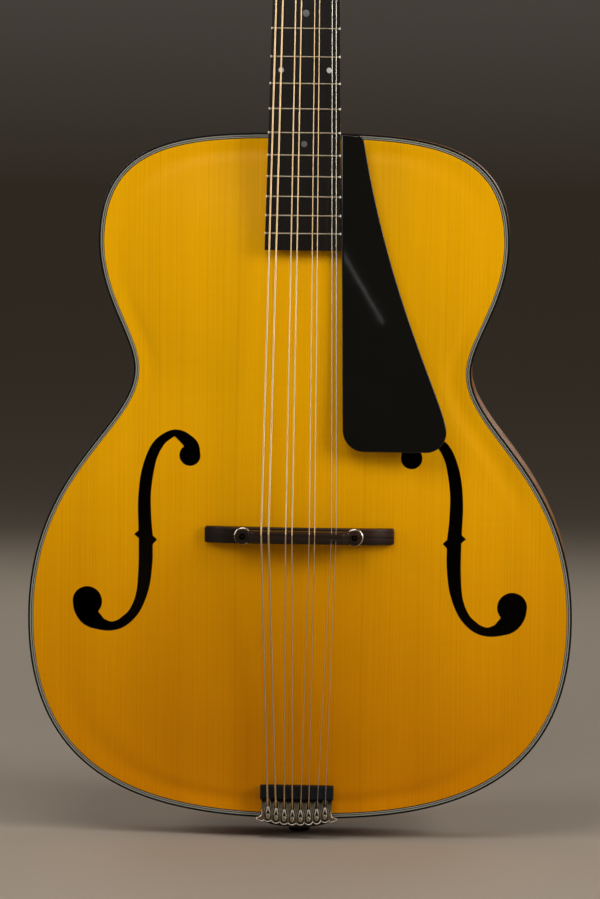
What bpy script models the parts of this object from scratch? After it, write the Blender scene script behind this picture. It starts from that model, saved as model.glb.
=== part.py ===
"""Carved-top octave mandolin: arched spruce top with two f-holes, maple back and ribs, set neck,
adjustable bridge, cast tailpiece and two strips of open-gear tuners.

The instrument stands on its tail. +Z runs up the neck, -Y is the front and +X is the treble side.
The origin is the centre of the strap button's end face. All sizes are in metres.
"""

import math

import bmesh
import bpy
import numpy as np
from mathutils import Matrix, Vector
from mathutils.bvhtree import BVHTree

mm = 0.001
inch = 25.4 * mm

# Clearances
seam = 0.3 * mm
running = 0.3 * mm

# Strings and scale
scale_length = 23 * inch
fret_count = 19
body_joint_fret = 14
octave_fret = 12
string_names = ("g1", "g2", "d1", "d2", "a1", "a2", "e1", "e2")
string_diameters = (1.17 * mm, 1.17 * mm, 0.86 * mm, 0.86 * mm, 0.61 * mm, 0.61 * mm, 0.36 * mm, 0.36 * mm)
nut_string_x = (-16.2 * mm, -12.2 * mm, -5.8 * mm, -2.3 * mm, 4.6 * mm, 7.4 * mm, 13.7 * mm, 16 * mm)
bridge_string_x = (-23.9 * mm, -19.1 * mm, -8 * mm, -3.9 * mm, 7.3 * mm, 10.8 * mm, 21.7 * mm, 24.7 * mm)
string_action = 2.1 * mm
string_over_nut = 1.1 * mm
crown_over_strings = 0.5 * mm
wrap_gap = 0.2 * mm

# Strap button and body outline, heights measured from the tail
button_length = 13 * mm
body_length = 449.9 * mm
lower_bout_half = 178.5 * mm
lower_bout_height = 131.8 * mm
waist_half = 110.3 * mm
waist_height = 294.2 * mm
upper_bout_half = 134.2 * mm
upper_bout_height = 379 * mm
tail_round = 78 * mm
lower_bout_below = 122 * mm
lower_bout_above = 96.3 * mm
waist_below = 37.9 * mm
waist_above = 21.4 * mm
upper_bout_below = 38.4 * mm
upper_bout_above = 70.5 * mm
shoulder_round = 71 * mm
outline_steps = (9, 8, 6, 8)

# Rim
rib_depth = 68 * mm
plate_edge = 4.5 * mm
rib_thickness = 2.6 * mm
binding_width = 1 * mm
binding_height = 6 * mm
purfling_width = 1.9 * mm
purfling_depth = 1.5 * mm
lining_width = 6 * mm
lining_height = 14 * mm
lining_gap = 1.5 * mm
block_half_width = 32 * mm
tail_block_length = 22 * mm
neck_block_length = 52 * mm

# Plates
top_arch = 16 * mm
back_arch = 15 * mm
arch_drop = 0.55
arch_fullness = 0.72
recurve_depth = 0.8 * mm
recurve_share = 0.16
top_centre_thickness = 6 * mm
back_centre_thickness = 5.5 * mm
spine_tail_inset = 95 * mm
spine_neck_inset = 101 * mm
glue_ledge = 11 * mm

# Sound holes, in their own frame: x away from the centre line, z up from the nicks
hole_x = 100.9 * mm
hole_drop = 5.8 * mm
hole_edge_up = ((4.8, 5.2), (5.4, 25.3), (3.1, 45.2), (-1.7, 59.1), (-11.4, 69.1), (-21.8, 70.6), (-30.5, 66.2))
hole_edge_down = ((-16.2, 65.9), (-9.5, 59.3), (-5.1, 48.3), (-3.2, 30.9), (-3.5, 15.3), (-4.7, 2.2))
hole_inner_nick = (-7.6, -0.6)
hole_tail_outer = ((-4.8, -3.6), (-4.7, -15.9), (-2.6, -32.4), (3.3, -47.8), (12.3, -57.6), (22.9, -61.3),
                   (34.6, -59.3), (43.4, -53.1))
hole_tail_inner = ((22.2, -54.8), (15.9, -52.4), (10, -46.5), (5.9, -35.5), (4.6, -19.2), (4.6, -0.2))
hole_outer_nick = (7.7, 2.6)
upper_eye = (-28, 54.5, 7)
upper_eye_sweep = (180, 414)
lower_eye = (38.3, -42.2, 9.8)
lower_eye_sweep = (0, 222)

# Tone bars
tone_bar_width = 6 * mm
tone_bar_height = 12 * mm
tone_bar_tail_x = 50 * mm
tone_bar_neck_x = 40 * mm
tone_bar_tail_inset = 88 * mm
tone_bar_neck_inset = 82 * mm

# Neck
nut_width = 1.375 * inch
octave_width = 45.6 * mm
board_thickness = 6 * mm
board_radius = 12 * inch
board_over_rim = 15 * mm
neck_slope = 0.0657
fret_height = 1 * mm
fret_width = 2.2 * mm
fret_crown = 1.2 * mm
nut_thickness = 5 * mm
nut_corner = 0.3 * mm
neck_depth_nut = 15 * mm
neck_depth_body = 17.5 * mm
heel_reach = 17 * mm
heel_sweep = 42 * mm
heel_narrowing = 0.2
heel_cap_thickness = 2 * mm
tenon_length = 16 * mm
tenon_mouth_half = 10 * mm
tenon_end_half = 12 * mm
tenon_back_inset = 4 * mm
tenon_root = 4 * mm
extension_root = 6 * mm
extension_length = 59 * mm
extension_tip = 1.2 * mm
rod_radius = 2.4 * mm
rod_depth = 5.4 * mm
rod_start = 9 * mm
rod_channel_open = 5 * mm
rod_channel_overlap = 3 * mm
rod_nut_gap = 1.5 * mm
rod_end_inset = 2 * mm
rod_nut_radius = 3.7 * mm
rod_nut_length = 9 * mm
rod_pocket_half = 4.8 * mm
rod_pocket_length = 17 * mm

# Headstock, in its own frame: x across, u up from the nut, f forwards from the wood's face
head_tilt = math.radians(14)
head_thickness = 13 * mm
head_overlap = 4 * mm
head_step = 0.3 * mm
head_sink = 0.1 * mm
head_foot_margin = 0.1 * mm
head_flare = ((2 * mm, 0), (7 * mm, 1.5 * mm))
head_shoulder_half = 30 * mm
head_shoulder_height = 19 * mm
head_shoulder_ease = (5.5 * mm, 4 * mm)
head_top_half = 31.5 * mm
head_past_posts = 17.7 * mm
head_corner = (1.5 * mm, 12 * mm)
head_crest_rise = 29 * mm
head_crest_ease = 4 * mm
head_dip = 5 * mm
overlay_thickness = 2 * mm
overlay_foot = 0.5 * mm
cover_length = 34 * mm
cover_half = 9.5 * mm
cover_thickness = 2 * mm
cover_foot = 2 * mm
rod_pocket_foot = 1 * mm

# Tuners
posts_per_side = 4
post_x = 17.5 * mm
first_post_height = 30 * mm
post_pitch = 23.1 * mm
post_radius = 3 * mm
post_above_overlay = 7.5 * mm
gear_teeth = 14
gear_pitch = 2.24 * mm
gear_face = 2.2 * mm
gear_addendum = 0.72 * mm
gear_dedendum = 0.95 * mm
gear_tooth = 0.85 * mm
worm_thread = 0.75 * mm
worm_tip_radius = 2.75 * mm
worm_root_radius = 1.15 * mm
worm_length = 7.4 * mm
flank_angle = math.radians(20)
gear_to_worm = 7.2 * mm
worm_over_plate = 3.1 * mm
plate_thickness = 1.2 * mm
plate_half_width = 6.5 * mm
plate_end_margin = 13 * mm
lug_thickness = 1.2 * mm
lug_half_width = 2.5 * mm
lug_height = 6 * mm
lug_top_half = 1.4 * mm
lug_shoulder = 1 * mm
cut_past = 1 * mm
gear_back = 0.4 * mm
shaft_radius = 1.15 * mm
shaft_past_edge = 2.5 * mm
button_size = (13 * mm, 6.6 * mm, 3.6 * mm)

# Bridge
base_length = 123.6 * mm
base_width = 10.7 * mm
base_flat_half = 44 * mm
base_end_height = 4.5 * mm
base_relief_half = 22 * mm
base_relief = 2.5 * mm
base_chamfer = 0.8 * mm
crest_offset = 1.7 * mm
post_spacing = 72.9 * mm
bridge_post_radius = 1.75 * mm
bridge_post_seat = 6.5 * mm
wheel_radius = 5.8 * mm
wheel_thickness = 2.2 * mm
wheel_edge = 0.4 * mm
wheel_drop_range = 1.5 * mm
saddle_width = 7.7 * mm
saddle_ear_radius = 5 * mm
saddle_ear_height = 6 * mm
saddle_side_height = 3 * mm
saddle_post_cover = 3 * mm
saddle_wall = 0.8 * mm
post_inset = 1 * mm

# Tailpiece, heights measured from the body's tail
cup_pitch = 5.33 * mm
cup_half_width = 2.25 * mm
cup_half_length = 3.5 * mm
cup_reach = 9 * mm
cup_mouth_half = 0.8 * mm
cup_depth = 3.6 * mm
cup_bow = 2 * mm
cup_rise = 3.1 * mm
anchor_half_width = 1.35 * mm
anchor_half_length = 3.3 * mm
anchor_rise = 0.6 * mm
anchor_sink = 0.4 * mm
rim_radius = 3.6 * mm
rim_drop = 1.2 * mm
rim_depth = 2.2 * mm
casting_half_width = 23.2 * mm
casting_ear = 3.6 * mm
casting_ear_height = 1 * mm
casting_overhang = 4.5 * mm
casting_plate = 1.8 * mm
casting_string_gap = 0.4 * mm
casting_stand_off = 2.7 * mm
casting_lip = 6.8 * mm
leg_half_width = 16 * mm
leg_thickness = 1.8 * mm
leg_reach = 26 * mm
leg_corner = 5 * mm
leg_screw_radius = 1.6 * mm
leg_screw_places = ((-10 * mm, 7 * mm), (0, 16 * mm), (10 * mm, 7 * mm))
damper_height = 9.2 * mm
damper_half_width = 24 * mm
damper_foot = 13.6 * mm
damper_sink = 0.1 * mm
damper_corner = 0.3 * mm

# Pickguard
guard_thickness = 2.8 * mm
guard_below_board = 2 * mm
guard_gap = 0.5 * mm
guard_bridge_gap = 54 * mm
guard_corner = 14 * mm
guard_tip = 13 * mm
guard_tip_handle = (0.6 * mm, 15.5 * mm)
guard_width = 67.3 * mm
guard_top_width = 15.1 * mm
guard_top_corner = 5 * mm
guard_top_inset = 1.5 * mm
guard_top_handle = (17.9 * mm, -104.5 * mm)
guard_foot_x = 60 * mm
guard_foot_rise = 32 * mm
guard_foot_size = (14 * mm, 8 * mm)

# Strap button
button_radius = 7.2 * mm
button_neck_radius = 4.2 * mm
button_flange_radius = 6.4 * mm
button_flange = 2 * mm
button_neck_ends = (3.6 * mm, 7.5 * mm)
button_head = 3.2 * mm
button_round = 1.2 * mm
pin_radius = 3.8 * mm
pin_taper = 0.8 * mm
pin_length = 26 * mm

# Worked-out levels
tail_z = button_length
top_z = tail_z + body_length
front_y = -(rib_depth / 2 + plate_edge)
back_y = -front_y
bridge_z = top_z - scale_length * 2 ** (-body_joint_fret / 12)
nut_z = bridge_z + scale_length
binding_inner = binding_width + seam
purfling_inner = binding_inner + purfling_width
top_ledge_inner = purfling_inner + seam
lining_outer = rib_thickness + seam


def fret_z(number):
    return bridge_z + scale_length * 2 ** (-number / 12)


def camber(x):
    return x * x / (2 * board_radius)


def board_y(z):
    return front_y - board_over_rim + neck_slope * (z - fret_z(body_joint_fret))


def board_half(z):
    octave_z = fret_z(octave_fret)
    widening = (octave_width - nut_width) / (nut_z - octave_z)
    return (nut_width + widening * (nut_z - z)) / 2


def wood_y(z):
    """The neck's glued face under the fingerboard."""
    return board_y(z) + board_thickness + seam


board_end_z = fret_z(fret_count + 1)
nut_string_y = board_y(nut_z) - string_over_nut
octave_string_y = board_y(fret_z(octave_fret)) - fret_height - string_action
bridge_string_y = 2 * octave_string_y - nut_string_y
bridge_post_z = bridge_z - crest_offset
tail_string_y = front_y - casting_stand_off - casting_lip - casting_string_gap

last_post_height = first_post_height + post_pitch * (posts_per_side - 1)
head_side_height = last_post_height + head_past_posts
head_crest_height = head_side_height + head_crest_rise
head_angle = math.atan(neck_slope) + head_tilt
head_foot_z = nut_z + nut_thickness + 2 * seam
head_matrix = Matrix.Translation((0, wood_y(head_foot_z) + head_step, head_foot_z)) @ Matrix((
    (1, 0, 0, 0),
    (0, math.sin(head_angle), -math.cos(head_angle), 0),
    (0, math.cos(head_angle), math.sin(head_angle), 0),
    (0, 0, 0, 1),
))


# Materials: colour, roughness, metallic
finishes = {
    "amber_spruce": ((0.62, 0.30, 0.025), 0.3, 0),
    "amber_maple": ((0.55, 0.22, 0.03), 0.3, 0),
    "inner_wood": ((0.68, 0.5, 0.3), 0.8, 0),
    "neck_maple": ((0.45, 0.2, 0.05), 0.35, 0),
    "ebony": ((0.02, 0.017, 0.015), 0.4, 0),
    "black_binding": ((0.015, 0.015, 0.015), 0.25, 0),
    "white_purfling": ((0.75, 0.74, 0.68), 0.4, 0),
    "black_guard": ((0.012, 0.012, 0.012), 0.2, 0),
    "bone": ((0.85, 0.8, 0.68), 0.4, 0),
    "nickel": ((0.72, 0.7, 0.66), 0.25, 1),
    "brass": ((0.75, 0.55, 0.25), 0.3, 1),
    "steel": ((0.5, 0.5, 0.52), 0.35, 1),
    "bronze_string": ((0.72, 0.45, 0.3), 0.3, 1),
    "plain_string": ((0.75, 0.75, 0.75), 0.2, 1),
    "rubber": ((0.015, 0.015, 0.017), 0.7, 0),
}


def material(finish):
    found = bpy.data.materials.get(finish)
    if found:
        return found
    colour, roughness, metallic = finishes[finish]
    made = bpy.data.materials.new(finish)
    made.use_nodes = True
    shader = made.node_tree.nodes["Principled BSDF"]
    shader.inputs["Base Color"].default_value = (*colour, 1)
    shader.inputs["Roughness"].default_value = roughness
    shader.inputs["Metallic"].default_value = metallic
    made.diffuse_color = (*colour, 1)
    return made


# Mesh helpers
def clear_scene():
    for obj in list(bpy.data.objects):
        bpy.data.objects.remove(obj, do_unlink=True)


def add_object(name, mesh, finish=None, matrix=None):
    obj = bpy.data.objects.new(name, mesh)
    bpy.context.scene.collection.objects.link(obj)
    if matrix is not None:
        obj.matrix_world = matrix
    if finish:
        dress(obj, finish)
    return obj


def dress(obj, finish):
    obj.data.materials.clear()
    obj.data.materials.append(material(finish))
    obj.data.shade_smooth()
    obj.data.set_sharp_from_angle(angle=math.radians(35))


def mesh_from(name, points, faces):
    """A closed mesh with coinciding points merged, collapsed faces dropped and its faces pointing out."""
    form = bmesh.new()
    corners = [form.verts.new(point) for point in points]
    for face in faces:
        form.faces.new([corners[index] for index in face])
    bmesh.ops.remove_doubles(form, verts=form.verts, dist=1e-7)
    bmesh.ops.dissolve_degenerate(form, edges=form.edges, dist=1e-7)
    bmesh.ops.recalc_face_normals(form, faces=form.faces)
    mesh = bpy.data.meshes.new(name)
    form.to_mesh(mesh)
    form.free()
    return mesh


def loft(name, rings, finish=None, matrix=None, closed_path=False):
    """Rings of equally many points joined in order. An open path gets an end face at each end."""
    size = len(rings[0])
    points = [point for ring in rings for point in ring]
    faces = []
    spans = len(rings) if closed_path else len(rings) - 1
    for row in range(spans):
        here = row * size
        there = (row + 1) % len(rings) * size
        for step in range(size):
            after = (step + 1) % size
            faces.append((here + step, here + after, there + after, there + step))
    if not closed_path:
        last = (len(rings) - 1) * size
        faces.append(tuple(range(size)))
        faces.append(tuple(range(last, last + size)))
    return add_object(name, mesh_from(name, points, faces), finish, matrix)


def prism(name, outline, low, high, axis="y", finish=None, matrix=None):
    """A flat outline extruded along one axis. The outline's two numbers are the other two axes in order."""
    place = {
        "x": lambda a, b, depth: (depth, a, b),
        "y": lambda a, b, depth: (a, depth, b),
        "z": lambda a, b, depth: (a, b, depth),
    }[axis]
    rings = [[place(a, b, depth) for a, b in outline] for depth in (low, high)]
    return loft(name, rings, finish, matrix)


def box(name, low, high, finish=None, matrix=None):
    outline = [(low[0], low[1]), (high[0], low[1]), (high[0], high[1]), (low[0], high[1])]
    return prism(name, outline, low[2], high[2], "z", finish, matrix)


def circle(radius, sides, centre=(0, 0), turn=0.0):
    angles = [turn + 2 * math.pi * step / sides for step in range(sides)]
    return [(centre[0] + radius * math.cos(a), centre[1] + radius * math.sin(a)) for a in angles]


def oval(half_x, half_y, sides, centre=(0, 0)):
    return [(centre[0] + half_x * x, centre[1] + half_y * y) for x, y in circle(1, sides)]


def hole_radius(shaft, sides):
    """The corner radius of a faceted hole whose flats clear a shaft that turns in it."""
    return (shaft + running) / math.cos(math.pi / sides)


def arc(centre, radius, start, end, steps):
    turns = [math.radians(start + (end - start) * step / steps) for step in range(steps + 1)]
    return [(centre[0] + radius * math.cos(a), centre[1] + radius * math.sin(a)) for a in turns]


def smooth_through(points, steps):
    """A Catmull-Rom curve through the points, with this many steps between each two."""
    line = [2 * np.array(points[0]) - np.array(points[1])]
    line += [np.array(point) for point in points]
    line.append(2 * line[-1] - line[-2])
    found = []
    for before, start, end, after in zip(line, line[1:], line[2:], line[3:]):
        for step in range(steps):
            t = step / steps
            found.append(0.5 * (2 * start + (end - before) * t + (2 * before - 5 * start + 4 * end - after) * t ** 2
                                + (3 * start - before - 3 * end + after) * t ** 3))
    found.append(line[-2])
    return [tuple(point) for point in found]


def bezier(p0, p1, p2, p3, t):
    s = 1 - t
    place = s ** 3 * p0 + 3 * s * s * t * p1 + 3 * s * t * t * p2 + t ** 3 * p3
    slope = 3 * s * s * (p1 - p0) + 6 * s * t * (p2 - p1) + 3 * t * t * (p3 - p2)
    return place, slope


def combine(target, tool, operation):
    """Joins, cuts or keeps the shared part of two solids, and removes the tool."""
    change = target.modifiers.new(operation.lower(), "BOOLEAN")
    change.operation = operation
    change.solver = "EXACT"
    change.object = tool
    bpy.context.view_layer.update()
    graph = bpy.context.evaluated_depsgraph_get()
    made = bpy.data.meshes.new_from_object(target.evaluated_get(graph))
    target.modifiers.clear()
    old = target.data
    target.data = made
    bpy.data.meshes.remove(old)
    bpy.data.objects.remove(tool, do_unlink=True)
    return target


def turned(name, profile, sides, finish=None, matrix=None):
    """A profile of (radius, height) turned about z, closed with a flat face at each end."""
    rings = [[(x, y, height) for x, y in circle(radius, sides)] for radius, height in profile]
    return loft(name, rings, finish, matrix)


# Body outline
def outline_point(place):
    """A point of the treble half and its inward normal. The whole part of place picks the arc."""
    tail = np.array((0, tail_z))
    low = np.array((lower_bout_half, tail_z + lower_bout_height))
    waist = np.array((waist_half, tail_z + waist_height))
    high = np.array((upper_bout_half, tail_z + upper_bout_height))
    neck = np.array((0, top_z))
    along = np.array((1.0, 0.0))
    up = np.array((0.0, 1.0))
    arcs = (
        (tail, tail + along * tail_round, low - up * lower_bout_below, low),
        (low, low + up * lower_bout_above, waist - up * waist_below, waist),
        (waist, waist + up * waist_above, high - up * upper_bout_below, high),
        (high, high + up * upper_bout_above, neck + along * shoulder_round, neck),
    )
    which = min(int(place), 3)
    point, slope = bezier(*arcs[which], place - which)
    slope = slope / np.linalg.norm(slope)
    return point, np.array((-slope[1], slope[0]))


def outline_places():
    places = [arc_number + step / steps for arc_number, steps in enumerate(outline_steps) for step in range(steps)]
    return places + [4.0]


def place_at_x(x, near_neck):
    """Where the outline is this far from the centre line, at the tail or at the neck."""
    low, high = (3.0, 4.0) if near_neck else (0.0, 1.0)
    for _ in range(40):
        middle = (low + high) / 2
        wider = outline_point(middle)[0][0] > x
        if wider == near_neck:
            low = middle
        else:
            high = middle
    return (low + high) / 2


def inset(place, offset):
    point, normal = outline_point(place)
    return point + normal * offset


def half_inset(offset):
    return [inset(place, offset) for place in outline_places()]


def full_inset(offset):
    treble = half_inset(offset)
    bass = [np.array((-x, z)) for x, z in reversed(treble[1:-1])]
    return treble + bass


def end_edge(offset, half_width, near_neck):
    """The facets of an inset outline within half_width of the centre line, from treble to bass."""
    line = half_inset(offset)
    if near_neck:
        line = line[::-1]
    first = next(step for step, point in enumerate(line) if point[0] >= half_width)
    kept = line[:first]
    inside, outside = line[first - 1], line[first]
    share = (half_width - inside[0]) / (outside[0] - inside[0])
    kept.append(inside + (outside - inside) * share)
    treble = [tuple(point) for point in reversed(kept)]
    return treble + [(-x, z) for x, z in reversed(treble[:-1])]


def ring_band(name, profile, finish):
    """A section of (inset, y) carried once round the outline."""
    loops = [full_inset(offset) for offset, _ in profile]
    rings = [[(loop[step][0], y, loop[step][1]) for loop, (_, y) in zip(loops, profile)]
             for step in range(len(loops[0]))]
    return loft(name, rings, finish, closed_path=True)


def half_band(name, profile, tail_x, neck_x, side, finish):
    """A section of (inset, y) carried along one half of the outline, between two distances from the centre line."""
    start = place_at_x(tail_x, False)
    end = place_at_x(neck_x, True)
    places = [start] + [place for place in outline_places() if start + 0.02 < place < end - 0.02] + [end]
    rings = []
    for place in places:
        corners = [inset(place, offset) for offset, _ in profile]
        rings.append([(side * x, y, z) for (x, z), (_, y) in zip(corners, profile)])
    return loft(name, rings, finish)


# Plates
def arch_profile(share):
    """Height of the arch from its edge, 0, to its spine, 1, with the hollow just inside the edge."""
    rise = (1 - np.cos(np.pi * share ** arch_fullness)) / 2
    hollow = np.sin(np.pi * np.clip(share / recurve_share, 0, 1)) ** 2
    return rise, hollow


def arch_height(arch, share, z):
    """Height of the arch over the rim. The arch falls away towards both ends of the body."""
    half = np.where(z > bridge_z, top_z - bridge_z, bridge_z - tail_z)
    fall = 1 - arch_drop * ((z - bridge_z) / half) ** 2
    rise, hollow = arch_profile(share)
    return arch * fall * rise - recurve_depth * hollow


def plate_rings(edge_inset, shares):
    """Loops between an inset of the outline and the spine on the centre line."""
    edge = np.array(full_inset(edge_inset))
    spine_low = tail_z + spine_tail_inset
    spine_high = top_z - spine_neck_inset
    along = (edge[:, 1] - edge[:, 1].min()) / (edge[:, 1].max() - edge[:, 1].min())
    spine = np.column_stack((np.zeros(len(edge)), spine_low + (spine_high - spine_low) * along))
    return [edge + (spine - edge) * share for share in shares]


def plate(name, arch, centre_thickness, facing, ledges, finish):
    """An arched plate. Facing is -1 at the front, and ledges are the (inset, y) corners of its edge, from outside."""
    outer_shares = (1, 0.82, 0.62, 0.42, 0.25, 0.12, 0.05, 0)
    inner_shares = (0, 0.25, 0.6, 1)
    face_y = facing * -front_y
    glue_y = facing * (rib_depth / 2 + seam)
    rings = []
    for share, loop in zip(outer_shares, plate_rings(ledges[0][0], outer_shares)):
        height = arch_height(arch, np.full(len(loop), float(share)), loop[:, 1])
        rings.append([(x, face_y + facing * rise, z) for (x, z), rise in zip(loop, height)])
    for offset, y in ledges[1:]:
        rings.append([(x, y, z) for x, z in full_inset(offset)])
    edge_share = (glue_ledge - ledges[0][0]) / spine_tail_inset
    for share, loop in zip(inner_shares, plate_rings(glue_ledge, inner_shares)):
        outer_share = edge_share + (1 - edge_share) * share
        height = arch_height(arch, np.full(len(loop), outer_share), loop[:, 1])
        thickness = plate_edge - seam + (centre_thickness - plate_edge + seam) * share
        level = np.maximum(height + plate_edge - seam - thickness, 0) * min(share * 5, 1)
        rings.append([(x, glue_y + facing * depth, z) for (x, z), depth in zip(loop, level)])
    size = len(rings[0])
    points = [point for ring in rings for point in ring]
    faces = []
    for row in range(len(rings) - 1):
        for step in range(size):
            after = (step + 1) % size
            faces.append((row * size + step, row * size + after, (row + 1) * size + after, (row + 1) * size + step))
    return add_object(name, mesh_from(name, points, faces), finish)


def hole_outline(side, steps):
    """The f-hole's closed outline in the body's frame, in the order in which a knife would follow it."""
    upper = arc(upper_eye[:2], upper_eye[2], *upper_eye_sweep, 4 * steps)
    lower = arc(lower_eye[:2], lower_eye[2], *lower_eye_sweep, 4 * steps)
    line = smooth_through(hole_edge_up + (upper[0],), steps)[:-1]
    line += upper
    line += smooth_through(hole_edge_down, steps)
    line.append(hole_inner_nick)
    line += smooth_through(hole_tail_outer + (lower[0],), steps)[:-1]
    line += lower
    line += smooth_through(hole_tail_inner, steps)
    line.append(hole_outer_nick)
    z = bridge_z - hole_drop
    return [(side * (hole_x + a * mm), z + b * mm) for a, b in line]


def surface_finder(obj, forwards):
    """A function that gives the y of a plate's face at (x, z), seen from outside or from inside."""
    tree = BVHTree.FromPolygons([v.co[:] for v in obj.data.vertices], [p.vertices[:] for p in obj.data.polygons])

    def find(x, z):
        start = Vector((x, 2 * front_y if forwards else 0, z))
        hit = tree.ray_cast(start, Vector((0, 1 if forwards else -1, 0)))
        return hit[0].y

    return find


def build_plates():
    top_ledges = (
        (top_ledge_inner, front_y),
        (top_ledge_inner, front_y + purfling_depth + seam),
        (binding_inner, front_y + purfling_depth + seam),
        (binding_inner, -(rib_depth / 2 + seam)),
    )
    back_ledges = (
        (binding_inner, back_y),
        (binding_inner, rib_depth / 2 + seam),
    )
    top = plate("top_plate", top_arch, top_centre_thickness, -1, top_ledges, None)
    faces = surface_finder(top, True), surface_finder(top, False)
    for side in (-1, 1):
        cutter = prism("hole_cutter", hole_outline(side, 2), 3 * front_y, 0)
        combine(top, cutter, "DIFFERENCE")
    dress(top, "amber_spruce")
    plate("back_plate", back_arch, back_centre_thickness, 1, back_ledges, "amber_maple")
    return faces


def build_rim():
    rib_face = rib_depth / 2
    rabbet = back_y - binding_height - seam
    rib_profile = [(0, -rabbet), (0, rabbet), (binding_inner, rabbet), (binding_inner, rib_face),
                   (rib_thickness, rib_face), (rib_thickness, -rib_face), (binding_inner, -rib_face),
                   (binding_inner, -rabbet)]
    for word, side in (("bass", -1), ("treble", 1)):
        rib = half_band("rib_" + word, rib_profile, seam / 2, tenon_end_half + seam, side, None)
        pin = prism("pin_cutter", circle(hole_radius(pin_radius, 12), 12), 0, 2 * tail_z, "z")
        combine(rib, pin, "DIFFERENCE")
        dress(rib, "amber_maple")
        for plate_word, facing in (("top", -1), ("back", 1)):
            lining_profile = [
                (lining_outer, facing * rib_face),
                (lining_outer + lining_width, facing * rib_face),
                (lining_outer + 0.75 * lining_width, facing * (rib_face - lining_height / 3)),
                (lining_outer, facing * (rib_face - lining_height)),
            ]
            end_x = block_half_width + lining_gap
            half_band(f"lining_{plate_word}_{word}", lining_profile, end_x, end_x, side, "inner_wood")
    for plate_word, facing in (("top", -1), ("back", 1)):
        outer = facing * back_y
        inner = facing * (back_y - binding_height)
        profile = [(0, outer), (binding_width, outer), (binding_width, inner), (0, inner)]
        ring_band("binding_" + plate_word, profile, "black_binding")
    purfling = [(binding_inner, front_y), (purfling_inner, front_y),
                (purfling_inner, front_y + purfling_depth), (binding_inner, front_y + purfling_depth)]
    ring_band("purfling_top", purfling, "white_purfling")


def build_blocks():
    face = rib_depth / 2
    tail_edge = end_edge(lining_outer, block_half_width, False)
    tail_top = tail_z + lining_outer + tail_block_length
    outline = tail_edge + [(-block_half_width, tail_top), (block_half_width, tail_top)]
    block = prism("tail_block", outline, -face, face)
    pin = prism("pin_cutter", circle(hole_radius(pin_radius, 12), 12), 0, tail_z + pin_length + seam, "z")
    combine(block, pin, "DIFFERENCE")
    dress(block, "inner_wood")
    neck_edge = end_edge(lining_outer, block_half_width, True)
    neck_bottom = top_z - lining_outer - neck_block_length
    slot_end = top_z - tenon_length - seam
    slot_top = top_z - lining_outer
    mouth = tenon_mouth_half + (tenon_end_half - tenon_mouth_half) * lining_outer / tenon_length + seam
    deep = tenon_end_half + seam
    treble = [point for point in neck_edge if point[0] > mouth]
    bass = [point for point in neck_edge if point[0] < -mouth]
    outline = treble + [(mouth, slot_top), (deep, slot_end), (-deep, slot_end), (-mouth, slot_top)] + bass
    outline += [(-block_half_width, neck_bottom), (block_half_width, neck_bottom)]
    prism("neck_block", outline, -face, face, finish="inner_wood")


def build_tone_bars(inner_y):
    low = tail_z + tone_bar_tail_inset
    high = top_z - tone_bar_neck_inset
    stations = 13
    for word, side in (("bass", -1), ("treble", 1)):
        rings = []
        for step in range(stations):
            share = step / (stations - 1)
            z = low + (high - low) * share
            x = side * (tone_bar_tail_x + (tone_bar_neck_x - tone_bar_tail_x) * share)
            height = tone_bar_height * (0.3 + 0.7 * math.sin(math.pi * share))
            left = x - tone_bar_width / 2
            right = x + tone_bar_width / 2
            seat = max(inner_y(left, z), inner_y(right, z)) + seam
            crown = (x, seat + height, z)
            shoulder = seat + height - tone_bar_width / 3
            rings.append([(left, inner_y(left, z) + seam, z), (right, inner_y(right, z) + seam, z),
                          (right, shoulder, z), crown, (left, shoulder, z)])
        loft("tone_bar_" + word, rings, "inner_wood")


# Neck
def neck_ring(z, depth_share, steps=12):
    """One section of the neck: flat under the board, rounded behind, deep and narrower in the heel."""
    half = board_half(max(min(z, nut_z), board_end_z)) - seam / 2
    front = wood_y(z)
    along = (nut_z - z) / (nut_z - top_z)
    shaft = neck_depth_nut + (neck_depth_body - neck_depth_nut) * along
    heel = 1.25 * (back_y - front)
    depth = shaft + (heel - shaft) * depth_share
    ring = []
    for step in range(steps + 1):
        angle = math.pi * step / steps
        back = depth * math.sin(angle)
        narrowing = 1 - heel_narrowing * min(back / (back_y - front), 1) * min(depth_share * 3, 1)
        ring.append((half * narrowing * math.cos(angle), front + back, z))
    return ring


def neck_loft(name):
    heel_start = top_z + seam
    rings = [neck_ring(heel_start, 1)]
    for angle in (90, 66, 52, 40, 28, 14, 0):
        rise = heel_sweep * (1 - math.sin(math.radians(angle)))
        rings.append(neck_ring(heel_start + heel_reach + rise, 1 - math.cos(math.radians(angle))))
    shaft_start = heel_start + heel_reach + heel_sweep
    for step in range(1, 6):
        rings.append(neck_ring(shaft_start + (head_foot_z - shaft_start) * step / 5, 0))
    return loft(name, rings)


def head_outline():
    """The headstock's front: concave sides over the nut, then straight sides and a crest with a shallow dip."""
    foot_half = nut_width / 2 + head_foot_margin
    ease_x, ease_u = head_shoulder_ease
    corner_x, corner_u = head_corner
    treble = [(foot_half, -head_overlap)]
    treble += [(foot_half + growth, height) for height, growth in head_flare]
    treble += [
        (head_shoulder_half - ease_x, head_shoulder_height - ease_u),
        (head_shoulder_half, head_shoulder_height),
        (head_top_half, head_side_height),
        (head_top_half - corner_x, head_side_height + corner_u),
        (0.72 * head_top_half, head_crest_height - head_crest_ease),
        (0.42 * head_top_half, head_crest_height),
        (0.16 * head_top_half, head_crest_height - 0.6 * head_dip),
    ]
    bass = [(-x, u) for x, u in reversed(treble)]
    return treble + [(0, head_crest_height - head_dip)] + bass


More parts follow.
